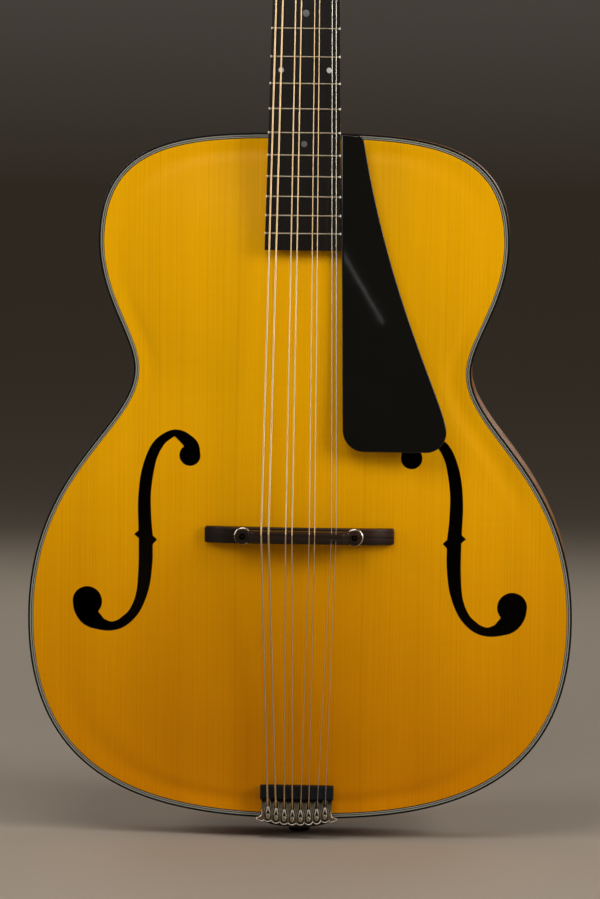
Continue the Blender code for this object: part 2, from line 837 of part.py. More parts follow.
def post_places():
    """Each tuner's name, side, place across and place up the headstock, nearest the nut first."""
    return [(word, side, number + 1, side * post_x, first_post_height + post_pitch * number)
            for word, side in (("bass", -1), ("treble", 1)) for number in range(posts_per_side)]


def cut_post_holes(obj):
    for _, _, _, x, u in post_places():
        radius = hole_radius(post_radius, 10)
        hole = prism("post_cutter", circle(radius, 10, (x, u)), -2 * head_thickness, head_thickness, "z",
                     matrix=head_matrix)
        combine(obj, hole, "DIFFERENCE")


def pocket_cutter():
    return box("pocket_cutter", (-rod_pocket_half, -rod_pocket_foot, -2 * rod_depth + seam),
               (rod_pocket_half, rod_pocket_length, head_thickness), matrix=head_matrix)


def build_neck():
    neck = neck_loft("neck")
    cap_plane = back_y - heel_cap_thickness
    past = 4 * back_y
    slab = box("slab", (-past, cap_plane - seam, 0), (past, past, 2 * nut_z))
    combine(neck, slab, "DIFFERENCE")

    cap = neck_loft("heel_cap")
    slab = box("slab", (-past, cap_plane, 0), (past, back_y, 2 * nut_z))
    combine(cap, slab, "INTERSECT")
    dress(cap, "ebony")

    joint_z = top_z + seam
    tenon_front = front_y + binding_height + 2 * seam
    tenon_back = rib_depth / 2 - tenon_back_inset
    tenon = [(tenon_mouth_half, joint_z + tenon_root), (tenon_mouth_half, joint_z - seam),
             (tenon_end_half, top_z - tenon_length), (-tenon_end_half, top_z - tenon_length),
             (-tenon_mouth_half, joint_z - seam), (-tenon_mouth_half, joint_z + tenon_root)]
    combine(neck, prism("tenon", tenon, tenon_front, tenon_back), "UNION")

    tip_z = top_z - extension_length
    root_z = joint_z + extension_root
    wedge = [(wood_y(root_z), root_z), (wood_y(tip_z), tip_z), (wood_y(tip_z) + extension_tip, tip_z),
             (front_y - 2 * seam, joint_z - seam), (front_y - 2 * seam, root_z)]
    half = board_half(top_z) - seam
    combine(neck, prism("wedge", wedge, -half, half, "x"), "UNION")

    head = prism("head", head_outline(), -head_thickness, 0, "z", matrix=head_matrix)
    below = head_foot_z - 2 * head_overlap
    above = head_foot_z + head_overlap
    front_cut = [(wood_y(above) + head_sink, above), (wood_y(below) + head_sink, below),
                 (wood_y(below) - head_thickness, below), (wood_y(below) - head_thickness, above)]
    combine(head, prism("front_cut", front_cut, -past, past, "x"), "DIFFERENCE")
    combine(neck, head, "UNION")

    rod_low = top_z + rod_start - seam
    channel_half = rod_radius + 2 * seam
    rod_high = head_foot_z + rod_channel_overlap
    channel = [(wood_y(rod_low) - rod_channel_open, rod_low), (wood_y(rod_low) + rod_depth + channel_half, rod_low),
               (wood_y(rod_high) + rod_depth + channel_half, rod_high),
               (wood_y(rod_high) - rod_channel_open, rod_high)]
    combine(neck, prism("channel", channel, -channel_half, channel_half, "x"), "DIFFERENCE")
    combine(neck, pocket_cutter(), "DIFFERENCE")
    cut_post_holes(neck)
    dress(neck, "neck_maple")


def build_truss_rod():
    slope = math.atan(neck_slope)
    low = Vector((0, wood_y(top_z + rod_start) + rod_depth, top_z + rod_start))
    along = Vector((0, math.sin(slope), math.cos(slope)))
    nut_start = (head_foot_z + rod_nut_gap - low.z) / along.z
    rod_length = nut_start + rod_nut_length - rod_end_inset
    turn = Matrix.Translation(low) @ Matrix.Rotation(-slope, 4, "X")
    turned("truss_rod", [(rod_radius, 0), (rod_radius, rod_length)], 8, "steel", turn)
    bore = hole_radius(rod_radius, 8)
    nut = prism("truss_rod_nut", circle(rod_nut_radius / math.cos(math.pi / 6), 6), 0, rod_nut_length, "z",
                matrix=turn @ Matrix.Translation((0, 0, nut_start)))
    hole = prism("bore", circle(bore, 8), -rod_end_inset, rod_nut_length - rod_end_inset / 2, "z",
                 matrix=nut.matrix_world.copy())
    combine(nut, hole, "DIFFERENCE")
    dress(nut, "brass")


def build_head_trim():
    overlay = prism("headstock_overlay", head_outline(), seam, seam + overlay_thickness, "z", matrix=head_matrix)
    past = 4 * back_y
    foot = box("foot_cutter", (-past, -past, -past), (past, overlay_foot, past), matrix=head_matrix)
    combine(overlay, foot, "DIFFERENCE")
    combine(overlay, pocket_cutter(), "DIFFERENCE")
    cut_post_holes(overlay)
    dress(overlay, "ebony")
    low = seam + overlay_thickness + seam
    foot_half = 0.55 * cover_half
    treble = [(foot_half, cover_foot), (cover_half, 0.3 * cover_length), (cover_half * 0.95, 0.55 * cover_length),
              (cover_half * 0.45, 0.85 * cover_length)]
    outline = treble + [(0, cover_length)] + [(-x, u) for x, u in reversed(treble)]
    prism("truss_rod_cover", outline, low, low + cover_thickness, "z", "ebony", head_matrix)


def notched_profile(low, half, crown, places, side_height):
    """An edge with a rounded crown and a notch under each string, as (x, y) from treble to bass.

    Low is the flat face that seats it, crown gives the crest's y at x, and side_height is its height at the ends.
    """
    edge = [(half, low), (half, low - side_height)]
    for x, bottom, radius in sorted(places, reverse=True):
        wide = radius + running
        edge.append((x + 1.3 * wide, crown(x + 1.3 * wide)))
        edge.append((x + 0.5 * wide, bottom))
        edge.append((x - 0.5 * wide, bottom))
        edge.append((x - 1.3 * wide, crown(x - 1.3 * wide)))
    return edge + [(-half, low - side_height), (-half, low)]


def build_nut():
    low_z = nut_z + seam
    seat = wood_y(low_z) - seam
    places = []
    for x, diameter in zip(nut_string_x, string_diameters):
        centre = nut_string_y - diameter / 2 + camber(x)
        places.append((x, centre + diameter / 2 + 0.5 * running, diameter / 2))

    def crown(x):
        return nut_string_y - crown_over_strings + camber(x)

    side = seat - crown(nut_width / 2) - nut_corner
    edge = notched_profile(seat, nut_width / 2, crown, places, side)
    prism("nut", edge, low_z, low_z + nut_thickness, "z", "bone")


def build_fingerboard():
    """The board as one loft, with each fret as a low ridge in its cambered face."""
    stations = [(board_end_z, 0)]
    for number in range(fret_count, 0, -1):
        z = fret_z(number)
        stations += [(z - fret_width / 2, 0), (z - fret_crown / 2, fret_height), (z + fret_crown / 2, fret_height),
                     (z + fret_width / 2, 0)]
    stations.append((nut_z, 0))
    rings = []
    for z, rise in stations:
        half = board_half(z)
        top = [(x, board_y(z) - rise + camber(x), z) for x in (half, half / 3, -half / 3, -half)]
        low = board_y(z) + board_thickness
        rings.append(top + [(-half, low, z), (half, low, z)])
    loft("fingerboard", rings, "ebony")


# Bridge
def base_top_y():
    """Front face of the bridge base where the wheels stand, so that the saddle meets the strings."""
    return saddle_seat_y() + seam + wheel_thickness + seam + wheel_drop_range


def saddle_seat_y():
    """Underside of the saddle."""
    return bridge_string_y + string_diameters[0] + saddle_ear_height + saddle_post_cover


def saddle_ring(z):
    """A section of the saddle across the strings. Crown and notches fall away with the strings on both sides."""
    nut_fall = (nut_string_y - bridge_string_y) / scale_length
    tail_fall = (tail_string_y - bridge_string_y) / (bridge_z - damper_low_z())
    fall = nut_fall * (z - bridge_z) if z > bridge_z else tail_fall * (bridge_z - z)
    places = []
    for number, diameter in enumerate(string_diameters):
        x = string_x_at(number, z)
        places.append((x, bridge_string_y + camber(x) + fall + 0.5 * running, diameter / 2))

    def crown(x):
        return bridge_string_y - crown_over_strings + camber(x) + fall

    half = post_spacing / 2 - bridge_post_radius - running - saddle_wall
    side = saddle_ear_height + saddle_side_height - fall
    return [(x, y, z) for x, y in notched_profile(saddle_seat_y(), half, crown, places, side)]


def build_saddle(centres):
    seat = saddle_seat_y()
    low = bridge_post_z - saddle_width / 2
    saddle = loft("bridge_saddle", [saddle_ring(z) for z in (low, bridge_z, low + saddle_width)])
    for centre in centres:
        ear = prism("ear", circle(saddle_ear_radius, 14, centre), seat - saddle_ear_height, seat)
        combine(saddle, ear, "UNION")
    for centre in centres:
        hole = prism("hole", circle(hole_radius(bridge_post_radius, 10), 10, centre), 2 * seat, seat + saddle_wall)
        combine(saddle, hole, "DIFFERENCE")
    dress(saddle, "ebony")


def build_bridge_base(centres, outer_y):
    """The base's foot follows the arched top. Its middle is relieved and its ends swept down."""
    half = base_length / 2
    flat_top = base_top_y()
    places = [half, 0.93 * half, 0.82 * half, base_flat_half, 1.2 * base_relief_half, base_relief_half]
    places += [0.66 * base_relief_half, 0.33 * base_relief_half, 0]
    places += [-x for x in reversed(places[:-1])]
    rings = []
    for x in places:
        past = max(abs(x) - base_flat_half, 0) / (half - base_flat_half)
        end_seat = outer_y(math.copysign(half, x), bridge_post_z) - base_end_height
        top = flat_top + (end_seat - flat_top) * (1 - math.cos(math.pi * past)) / 2
        relief = base_relief * max(1 - (x / base_relief_half) ** 2, 0)
        low = bridge_post_z - base_width / 2
        high = bridge_post_z + base_width / 2
        rings.append([
            (x, outer_y(x, low) - seam - relief, low), (x, outer_y(x, high) - seam - relief, high),
            (x, top + base_chamfer, high), (x, top, high - base_chamfer),
            (x, top, low + base_chamfer), (x, top + base_chamfer, low),
        ])
    base = loft("bridge_base", rings)
    for centre in centres:
        hole = prism("post_hole", circle(hole_radius(bridge_post_radius, 10), 10, centre), 2 * flat_top,
                     flat_top + bridge_post_seat + seam)
        combine(base, hole, "DIFFERENCE")
    dress(base, "ebony")


def build_bridge(outer_y):
    centres = [(side * post_spacing / 2, bridge_post_z) for side in (-1, 1)]
    build_bridge_base(centres, outer_y)
    build_saddle(centres)
    flat_top = base_top_y()
    seat = saddle_seat_y()
    for word, (x, z) in zip(("bass", "treble"), centres):
        axis = Matrix.Translation((x, 0, z)) @ Matrix.Rotation(math.pi / 2, 4, "X")
        post_low = -(flat_top + bridge_post_seat)
        post_high = saddle_ear_height - post_inset - seat
        turned("bridge_post_" + word, [(bridge_post_radius, post_low), (bridge_post_radius, post_high)], 8,
               "brass", axis)
        low = -(seat + seam + wheel_thickness)
        high = low + wheel_thickness
        profile = [(wheel_radius - wheel_edge, low), (wheel_radius, low + wheel_edge),
                   (wheel_radius, high - wheel_edge), (wheel_radius - wheel_edge, high)]
        wheel = turned("thumbwheel_" + word, profile, 20, None, axis)
        hole = prism("hole", circle(hole_radius(bridge_post_radius, 10), 10), low - wheel_edge, high + wheel_edge,
                     "z", matrix=axis)
        combine(wheel, hole, "DIFFERENCE")
        dress(wheel, "nickel")


# Tailpiece, damper and strap button
def damper_low_z():
    return tail_z + damper_foot


def damper_string_y(z, radius, x):
    """Centre of a string between the saddle and the damper, which sets how low it leaves the bridge."""
    share = (bridge_z - z) / (bridge_z - damper_low_z())
    return bridge_string_y + (tail_string_y - bridge_string_y) * share + camber(x) * (1 - share) - radius


def cup_place(number):
    outermost = (len(string_names) - 1) / 2
    x = cup_pitch * (number - outermost)
    return x, tail_z + cup_rise - cup_bow * (1 - (x / (outermost * cup_pitch)) ** 2)


def string_x_at(number, z):
    """A string's distance from the centre line, below and above the saddle's crest."""
    crest_x = bridge_string_x[number]
    if z > bridge_z:
        return crest_x + (nut_string_x[number] - crest_x) * (z - bridge_z) / scale_length
    cup_x, cup_z = cup_place(number)
    return cup_x + (crest_x - cup_x) * (z - cup_z) / (bridge_z - cup_z)


def cup_outline(x, z):
    """A teardrop: half an oval below, drawn out to the narrow mouth where the string comes in."""
    foot = [(x + cup_half_width * a, z + cup_half_length * b) for a, b in arc((0, 0), 1, 180, 360, 6)]
    brow = [(x + 0.85 * cup_half_width, z + 0.4 * cup_reach), (x + cup_mouth_half, z + cup_reach)]
    return foot + brow + [(2 * x - a, b) for a, b in reversed(brow)]


def rim_cutter(front):
    """What lies under the casting's scalloped front rim, which follows the foot of each cup."""
    half_pitch = cup_pitch / 2
    line = []
    for number in range(len(string_names)):
        x, z = cup_place(number)
        for across in (-half_pitch, -0.6 * half_pitch, 0, 0.6 * half_pitch):
            line.append((x + across, z - rim_drop - math.sqrt(rim_radius ** 2 - across ** 2)))
    line.append((-line[0][0], line[0][1]))
    below = tail_z - 2 * casting_overhang
    outline = line + [(line[-1][0], below), (line[0][0], below)]
    return prism("rim_cutter", outline, front - rim_depth, front + rim_depth)


def build_tailpiece():
    base_y = front_y - casting_stand_off
    plate_y = base_y - casting_plate
    front = base_y - casting_lip
    floor = front + cup_depth
    low = tail_z - casting_overhang
    nose = damper_low_z() + damper_height
    brow = damper_low_z() - seam
    wide = casting_half_width
    ear_z = tail_z + casting_ear_height
    treble = [(wide - casting_plate, nose), (wide, brow), (wide - 0.2 * casting_ear, ear_z + 1.3 * casting_ear),
              (wide + 0.1 * casting_ear, ear_z + 0.4 * casting_ear), (wide + casting_ear, ear_z),
              (wide - 0.2 * casting_ear, ear_z - 0.5 * casting_ear), (0.68 * wide, low + 0.3 * casting_overhang),
              (0.34 * wide, low + 0.1 * casting_overhang)]
    outline = treble + [(0, low)] + [(-x, z) for x, z in reversed(treble)]
    casting = prism("tailpiece", outline, 2 * front, 0)
    profile = [(base_y, 2 * nose), (plate_y, 2 * nose), (plate_y, brow), (floor, brow),
               (front + 0.45 * cup_depth, brow - 1.25 * cup_depth), (front, brow - 2.1 * cup_depth),
               (front, 0), (base_y, 0)]
    combine(casting, prism("side_view", profile, -2 * wide, 2 * wide, "x"), "INTERSECT")
    combine(casting, rim_cutter(front), "DIFFERENCE")
    leg_high = tail_z - seam
    leg_low = leg_high - leg_thickness
    leg_end = front_y + leg_reach
    leg = [(-leg_half_width, plate_y), (leg_half_width, plate_y), (leg_half_width, leg_end - leg_corner),
           (leg_half_width - leg_corner, leg_end), (leg_corner - leg_half_width, leg_end),
           (-leg_half_width, leg_end - leg_corner)]
    combine(casting, prism("leg", leg, leg_low, leg_high, "z"), "UNION")
    for x, y in leg_screw_places:
        hole = prism("screw_hole", circle(leg_screw_radius, 8, (x, leg_end - y)), leg_low - seam, leg_high + seam,
                     "z")
        combine(casting, hole, "DIFFERENCE")
    for number in range(len(string_names)):
        x, z = cup_place(number)
        combine(casting, prism("cup", cup_outline(x, z), 2 * front, floor), "DIFFERENCE")
        anchor = prism("anchor", oval(anchor_half_width, anchor_half_length, 8, (x, z + anchor_rise)),
                       front + anchor_sink, floor + anchor_sink)
        combine(casting, anchor, "UNION")
    dress(casting, "nickel")


def build_damper():
    seat = front_y - casting_stand_off - casting_plate - seam
    low = damper_low_z()
    places = []
    for number, diameter in enumerate(string_diameters):
        x = string_x_at(number, low + damper_height / 2)
        bottom = damper_string_y(low, diameter / 2, x) + diameter / 2 + 0.5 * running
        places.append((x, bottom, diameter / 2))

    def crown(x):
        return damper_string_y(low, 0, x) + damper_sink

    side = seat - crown(damper_half_width) - damper_corner
    edge = notched_profile(seat, damper_half_width, crown, places, side)
    prism("string_damper", edge, low, low + damper_height, "z", "rubber")


def build_strap_button():
    neck_high, neck_low = button_neck_ends
    profile = [(pin_radius - pin_taper, tail_z + pin_length), (pin_radius, tail_z - seam),
               (button_flange_radius, tail_z - seam), (button_flange_radius, tail_z - button_flange),
               (button_neck_radius, tail_z - neck_high), (button_neck_radius, tail_z - neck_low),
               (button_radius, button_head), (button_radius, button_round), (button_radius - button_round, 0)]
    turned("strap_button", profile, 16, "ebony")


# Pickguard
def build_pickguard(outer_y):
    """A flat raised guard beside the board, rounded at its foot, on a small block over the top."""
    low_z = bridge_z + guard_bridge_gap
    high_z = top_z - guard_top_inset
    left_low = board_half(low_z) + guard_gap
    left_high = board_half(high_z) + guard_gap
    corner = arc((left_low + guard_corner, low_z + guard_corner), guard_corner, 180, 270, 4)
    tip = arc((left_low + guard_width - guard_tip, low_z + guard_tip), guard_tip, 270, 360, 5)
    shoulder = arc((left_high + guard_top_width - guard_top_corner, high_z - guard_top_corner), guard_top_corner,
                   12, 90, 3)
    start = np.array(tip[-1])
    end = np.array(shoulder[0])
    edge = [bezier(start, start + np.array(guard_tip_handle), end + np.array(guard_top_handle), end, step / 10)[0]
            for step in range(1, 10)]
    outline = corner + tip + [tuple(point) for point in edge] + shoulder + [(left_high, high_z)]
    rings = []
    for depth in (0, guard_thickness):
        rings.append([(x, board_y(z) + guard_below_board + depth, z) for x, z in outline])
    loft("pickguard", rings, "black_guard")

    x = guard_foot_x
    z = low_z + guard_foot_rise
    wide, long = guard_foot_size
    rings = []
    for corner_x, corner_z in ((x - wide / 2, z - long / 2), (x + wide / 2, z - long / 2),
                               (x + wide / 2, z + long / 2), (x - wide / 2, z + long / 2)):
        guard_back = board_y(corner_z) + guard_below_board + guard_thickness + seam
        rings.append(((corner_x, guard_back, corner_z), (corner_x, outer_y(corner_x, corner_z) - seam, corner_z)))
    loft("pickguard_block", [[pair[0] for pair in rings], [pair[1] for pair in rings]], "ebony")


# Strings
def post_string_ends():
    """The post that each string runs to: outer strings to the posts nearest the nut."""
    order = {"g1": ("bass", 1), "g2": ("bass", 2), "d1": ("bass", 3), "d2": ("bass", 4),
             "a1": ("treble", 4), "a2": ("treble", 3), "e1": ("treble", 2), "e2": ("treble", 1)}
    places = {(word, number): (side, x, u) for word, side, number, x, u in post_places()}
    return [places[order[name]] for name in string_names]


def build_strings():
    ends = post_string_ends()
    wraps = 1.25
    wrap_steps = 8
    for number, name in enumerate(string_names):
        radius = string_diameters[number] / 2
        cup_x, cup_z = cup_place(number)
        lip_y = front_y - casting_stand_off - casting_lip
        end_z = cup_z + anchor_rise + anchor_half_length + radius + seam
        line = [Vector((cup_x, lip_y + 0.35 * cup_depth, end_z))]
        leave = damper_low_z() - seam
        line.append(Vector((string_x_at(number, leave), damper_string_y(leave, radius, cup_x), leave)))
        saddle_x = bridge_string_x[number]
        line.append(Vector((saddle_x, bridge_string_y - radius + camber(saddle_x), bridge_z)))
        nut_x = nut_string_x[number]
        crest = nut_string_y - radius + camber(nut_x)
        line.append(Vector((nut_x, crest, nut_z)))
        line.append(Vector((nut_x, crest, nut_z + 2 * seam + nut_thickness)))
        side, post_place, height = ends[number]
        orbit = (post_radius + running / 2 + radius) / math.cos(math.pi / wrap_steps)
        rise = 2 * radius + wrap_gap
        top = overlay_thickness + 2 * seam + (wraps + 1) * rise
        for step in range(int(wraps * wrap_steps) + 1):
            turn = 2 * math.pi * step / wrap_steps
            angle = (0 if side < 0 else math.pi) - side * turn
            sink = rise * step / wrap_steps
            place = Vector((post_place + orbit * math.cos(angle), height + orbit * math.sin(angle), top - sink))
            line.append(head_matrix @ place)
        curve = bpy.data.curves.new("string_" + name, "CURVE")
        curve.dimensions = "3D"
        curve.bevel_depth = radius
        curve.bevel_resolution = 0
        curve.use_fill_caps = True
        spline = curve.splines.new("POLY")
        spline.points.add(len(line) - 1)
        for point, place in zip(spline.points, line):
            point.co = (*place, 1)
        finish = "plain_string" if name.startswith("e") else "bronze_string"
        add_object("string_" + name, curve)
        curve.materials.append(material(finish))


# Tuners
def gear_outline():
    """Tips and roots of the worm wheel, with one tooth centred on +u."""
    pitch_radius = gear_teeth * gear_pitch / (2 * math.pi)
    tip_radius = pitch_radius + gear_addendum
    root_radius = pitch_radius - gear_dedendum
    tip_half = (gear_tooth / 2 - gear_addendum * math.tan(flank_angle)) / tip_radius
    outline = []
    for tooth in range(gear_teeth):
        centre = math.pi / 2 + 2 * math.pi * tooth / gear_teeth
        for radius, angle in ((tip_radius, centre - tip_half), (tip_radius, centre + tip_half),
                              (root_radius, centre + math.pi / gear_teeth)):
            outline.append((radius * math.cos(angle), radius * math.sin(angle)))
    return outline


def worm_rings(sides):
    """The worm's thread as a grid: each column's corners slide along the shaft as the angle grows, by one pitch
    per turn, and those past an end lie on the shaft. The gap between two turns faces the gear at the middle."""
    pitch_radius = gear_to_worm - gear_teeth * gear_pitch / (2 * math.pi)
    tip_half = worm_thread / 2 - (worm_tip_radius - pitch_radius) * math.tan(flank_angle)
    root_half = worm_thread / 2 + (pitch_radius - worm_root_radius) * math.tan(flank_angle)
    turns = int(worm_length / gear_pitch / 2) + 2
    corners = []
    for turn in range(-turns, turns + 1):
        crest = (turn + 0.5) * gear_pitch
        corners += [(crest - root_half, worm_root_radius), (crest - tip_half, worm_tip_radius),
                    (crest + tip_half, worm_tip_radius), (crest + root_half, worm_root_radius)]
    columns = []
    for side in range(sides + 1):
        angle = 2 * math.pi * side / sides
        shift = gear_pitch * side / sides
        column = []
        for place, radius in corners:
            s = place + shift
            if abs(s) >= worm_length / 2:
                s = math.copysign(worm_length / 2, s)
                radius = worm_root_radius
            column.append((s, radius * math.cos(angle), radius * math.sin(angle)))
        columns.append(column)
    return columns


def key_mesh(sides=8):
    """A worm on its shaft with the finger button, along the local x axis. Local y faces the gear."""
    columns = worm_rings(sides)
    points = [point for column in columns for point in column]
    size = len(columns[0])
    faces = []
    for side in range(sides):
        for step in range(size - 1):
            faces.append((side * size + step, side * size + step + 1, (side + 1) * size + step + 1,
                          (side + 1) * size + step))
    half = worm_length / 2
    edge = head_top_half - post_x + shaft_past_edge
    length, wide, deep = button_size
    inner_end = -half - lug_thickness - 2 * running
    inner = [(-half, worm_root_radius, worm_root_radius), (inner_end, shaft_radius, shaft_radius)]
    outer = [(half, worm_root_radius, worm_root_radius), (edge, shaft_radius, shaft_radius),
             (edge + 0.04 * length, 0.55 * wide, 0.7 * deep), (edge + 0.35 * length, wide, deep),
             (edge + 0.8 * length, 0.9 * wide, 0.9 * deep), (edge + length, 0.45 * wide, 0.45 * deep)]
    for stretch in (inner, outer):
        start = len(points)
        for s, half_y, half_z in stretch:
            points += [(s, half_y * math.cos(2 * math.pi * k / sides), half_z * math.sin(2 * math.pi * k / sides))
                       for k in range(sides)]
        for row in range(len(stretch) - 1):
            for k in range(sides):
                after = (k + 1) % sides
                here = start + row * sides
                faces.append((here + k, here + after, here + sides + after, here + sides + k))
        last = start + (len(stretch) - 1) * sides
        faces.append(tuple(range(last, last + sides)))
    return points, faces


def build_tuners():
    axis_f = -head_thickness - seam - plate_thickness - worm_over_plate
    front = seam + overlay_thickness + post_above_overlay
    key_points, key_faces = key_mesh()
    for word, side, number, x, u in post_places():
        place = head_matrix @ Matrix.Translation((x, u, 0))
        post = prism(f"tuner_post_{word}_{number}", circle(post_radius, 8), axis_f - gear_face / 2, front, "z",
                     matrix=place)
        gear_low = axis_f - gear_face / 2 - gear_back
        gear = prism("gear", gear_outline(), gear_low, gear_low + gear_face, "z", matrix=place)
        combine(post, gear, "UNION")
        dress(post, "nickel")
        turn = Matrix(((side, 0, 0, 0), (0, -1, 0, 0), (0, 0, -side, 0), (0, 0, 0, 1)))
        key_place = head_matrix @ Matrix.Translation((x, u + gear_to_worm, axis_f)) @ turn
        name = f"tuner_key_{word}_{number}"
        add_object(name, mesh_from(name, key_points, key_faces), "nickel", key_place)


def build_tuner_plates():
    front = -head_thickness - seam
    back = front - plate_thickness
    low = first_post_height - plate_end_margin
    high = last_post_height + gear_to_worm + plate_end_margin
    worm_f = back - worm_over_plate
    for word, side in (("bass", -1), ("treble", 1)):
        centre = side * post_x
        round_end = [(centre + plate_half_width * math.cos(a), plate_half_width * math.sin(a))
                     for a in [math.pi * step / 6 for step in range(7)]]
        outline = [(a, high - plate_half_width + b) for a, b in round_end]
        outline += [(2 * centre - a, low + plate_half_width - b) for a, b in round_end]
        strip = prism("tuner_plate_" + word, outline, back, front, "z", matrix=head_matrix)
        for place_word, _, _, x, u in post_places():
            if place_word != word:
                continue
            hole = prism("hole", circle(hole_radius(post_radius, 8), 8, (x, u)), back - cut_past, front + cut_past,
                         "z", matrix=head_matrix)
            combine(strip, hole, "DIFFERENCE")
            for end in (-1, 1):
                inner = end * (worm_length / 2 + running)
                outer = inner + end * lug_thickness
                low_x, high_x = sorted((x + inner, x + outer))
                worm_u = u + gear_to_worm
                root = back + 0.6 * plate_thickness
                shoulder = worm_f - lug_shoulder
                top = back - lug_height
                outline = [(worm_u - lug_half_width, root), (worm_u - lug_half_width, shoulder),
                           (worm_u - lug_top_half, top), (worm_u + lug_top_half, top),
                           (worm_u + lug_half_width, shoulder), (worm_u + lug_half_width, root)]
                combine(strip, prism("lug", outline, low_x, high_x, "x", matrix=head_matrix), "UNION")
                bearing = prism("bearing", circle(hole_radius(shaft_radius, 8), 8, (worm_u, worm_f)),
                                low_x - cut_past / 2, high_x + cut_past / 2, "x", matrix=head_matrix)
                combine(strip, bearing, "DIFFERENCE")
        dress(strip, "nickel")


def main():
    clear_scene()
    outer_y, inner_y = build_plates()
    build_rim()
    build_blocks()
    build_tone_bars(inner_y)
    build_neck()
    build_truss_rod()
    build_head_trim()
    build_nut()
    build_fingerboard()
    build_bridge(outer_y)
    build_tailpiece()
    build_damper()
    build_strap_button()
    build_pickguard(outer_y)
    build_strings()
    build_tuners()
    build_tuner_plates()


main()
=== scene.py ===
import math

import bmesh
import bpy
import numpy as np
from mathutils import Matrix, Vector
from mathutils.bvhtree import BVHTree


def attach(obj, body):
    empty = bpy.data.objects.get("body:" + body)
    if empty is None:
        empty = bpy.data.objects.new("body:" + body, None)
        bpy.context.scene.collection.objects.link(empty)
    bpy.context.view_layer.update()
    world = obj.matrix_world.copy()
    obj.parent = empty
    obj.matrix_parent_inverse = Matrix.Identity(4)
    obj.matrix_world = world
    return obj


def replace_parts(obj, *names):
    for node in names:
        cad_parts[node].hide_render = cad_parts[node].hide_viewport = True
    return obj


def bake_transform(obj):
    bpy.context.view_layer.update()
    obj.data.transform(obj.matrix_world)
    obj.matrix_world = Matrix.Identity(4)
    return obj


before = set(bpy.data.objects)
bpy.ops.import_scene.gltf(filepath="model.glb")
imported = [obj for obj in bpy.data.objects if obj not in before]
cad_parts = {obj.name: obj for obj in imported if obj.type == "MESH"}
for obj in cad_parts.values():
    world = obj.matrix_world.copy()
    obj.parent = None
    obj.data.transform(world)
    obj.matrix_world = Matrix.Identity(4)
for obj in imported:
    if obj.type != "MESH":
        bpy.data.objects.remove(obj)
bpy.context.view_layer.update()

mm = 0.001
print("frame loaded:", len(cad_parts), "nodes")

# The instrument stands on its tail: +Z up the neck, -Y the front, +X the treble side


# Shader helpers
def put(tree, kind, inputs=None, **settings):
    node = tree.nodes.new(kind)
    for key, value in settings.items():
        setattr(node, key, value)
    for key, value in (inputs or {}).items():
        if isinstance(value, bpy.types.NodeSocket):
            tree.links.new(value, node.inputs[key])
        else:
            node.inputs[key].default_value = value
    return node


def calc(tree, operation, *values):
    return put(tree, "ShaderNodeMath", dict(enumerate(values)), operation=operation).outputs[0]


def ramp(tree, value, *stops):
    # stops are (place, grey or colour)
    node = put(tree, "ShaderNodeValToRGB", {0: value})
    line = node.color_ramp
    while len(line.elements) < len(stops):
        line.elements.new(0.5)
    for element, (place, colour) in zip(line.elements, stops):
        element.position = place
        element.color = (*colour, 1) if isinstance(colour, tuple) else (colour, colour, colour, 1)
    return node.outputs[0]


def blendColour(tree, share, first, second, how="MIX"):
    node = put(tree, "ShaderNodeMix", {0: share}, data_type="RGBA", blend_type=how)
    for socket, value in ((node.inputs[6], first), (node.inputs[7], second)):
        if isinstance(value, bpy.types.NodeSocket):
            tree.links.new(value, socket)
        else:
            socket.default_value = (*value, 1)
    return node.outputs[2]


def newGroup(name, inputs, outputs):
    # inputs are (label, kind, start value); outputs are (label, kind)
    group = bpy.data.node_groups.new(name, "ShaderNodeTree")
    for label, kind, value in inputs:
        socket = group.interface.new_socket(label, in_out="INPUT", socket_type="NodeSocket" + kind)
        if value is not None:
            socket.default_value = value
    for label, kind in outputs:
        group.interface.new_socket(label, in_out="OUTPUT", socket_type="NodeSocket" + kind)
    return group, group.nodes.new("NodeGroupInput"), group.nodes.new("NodeGroupOutput")


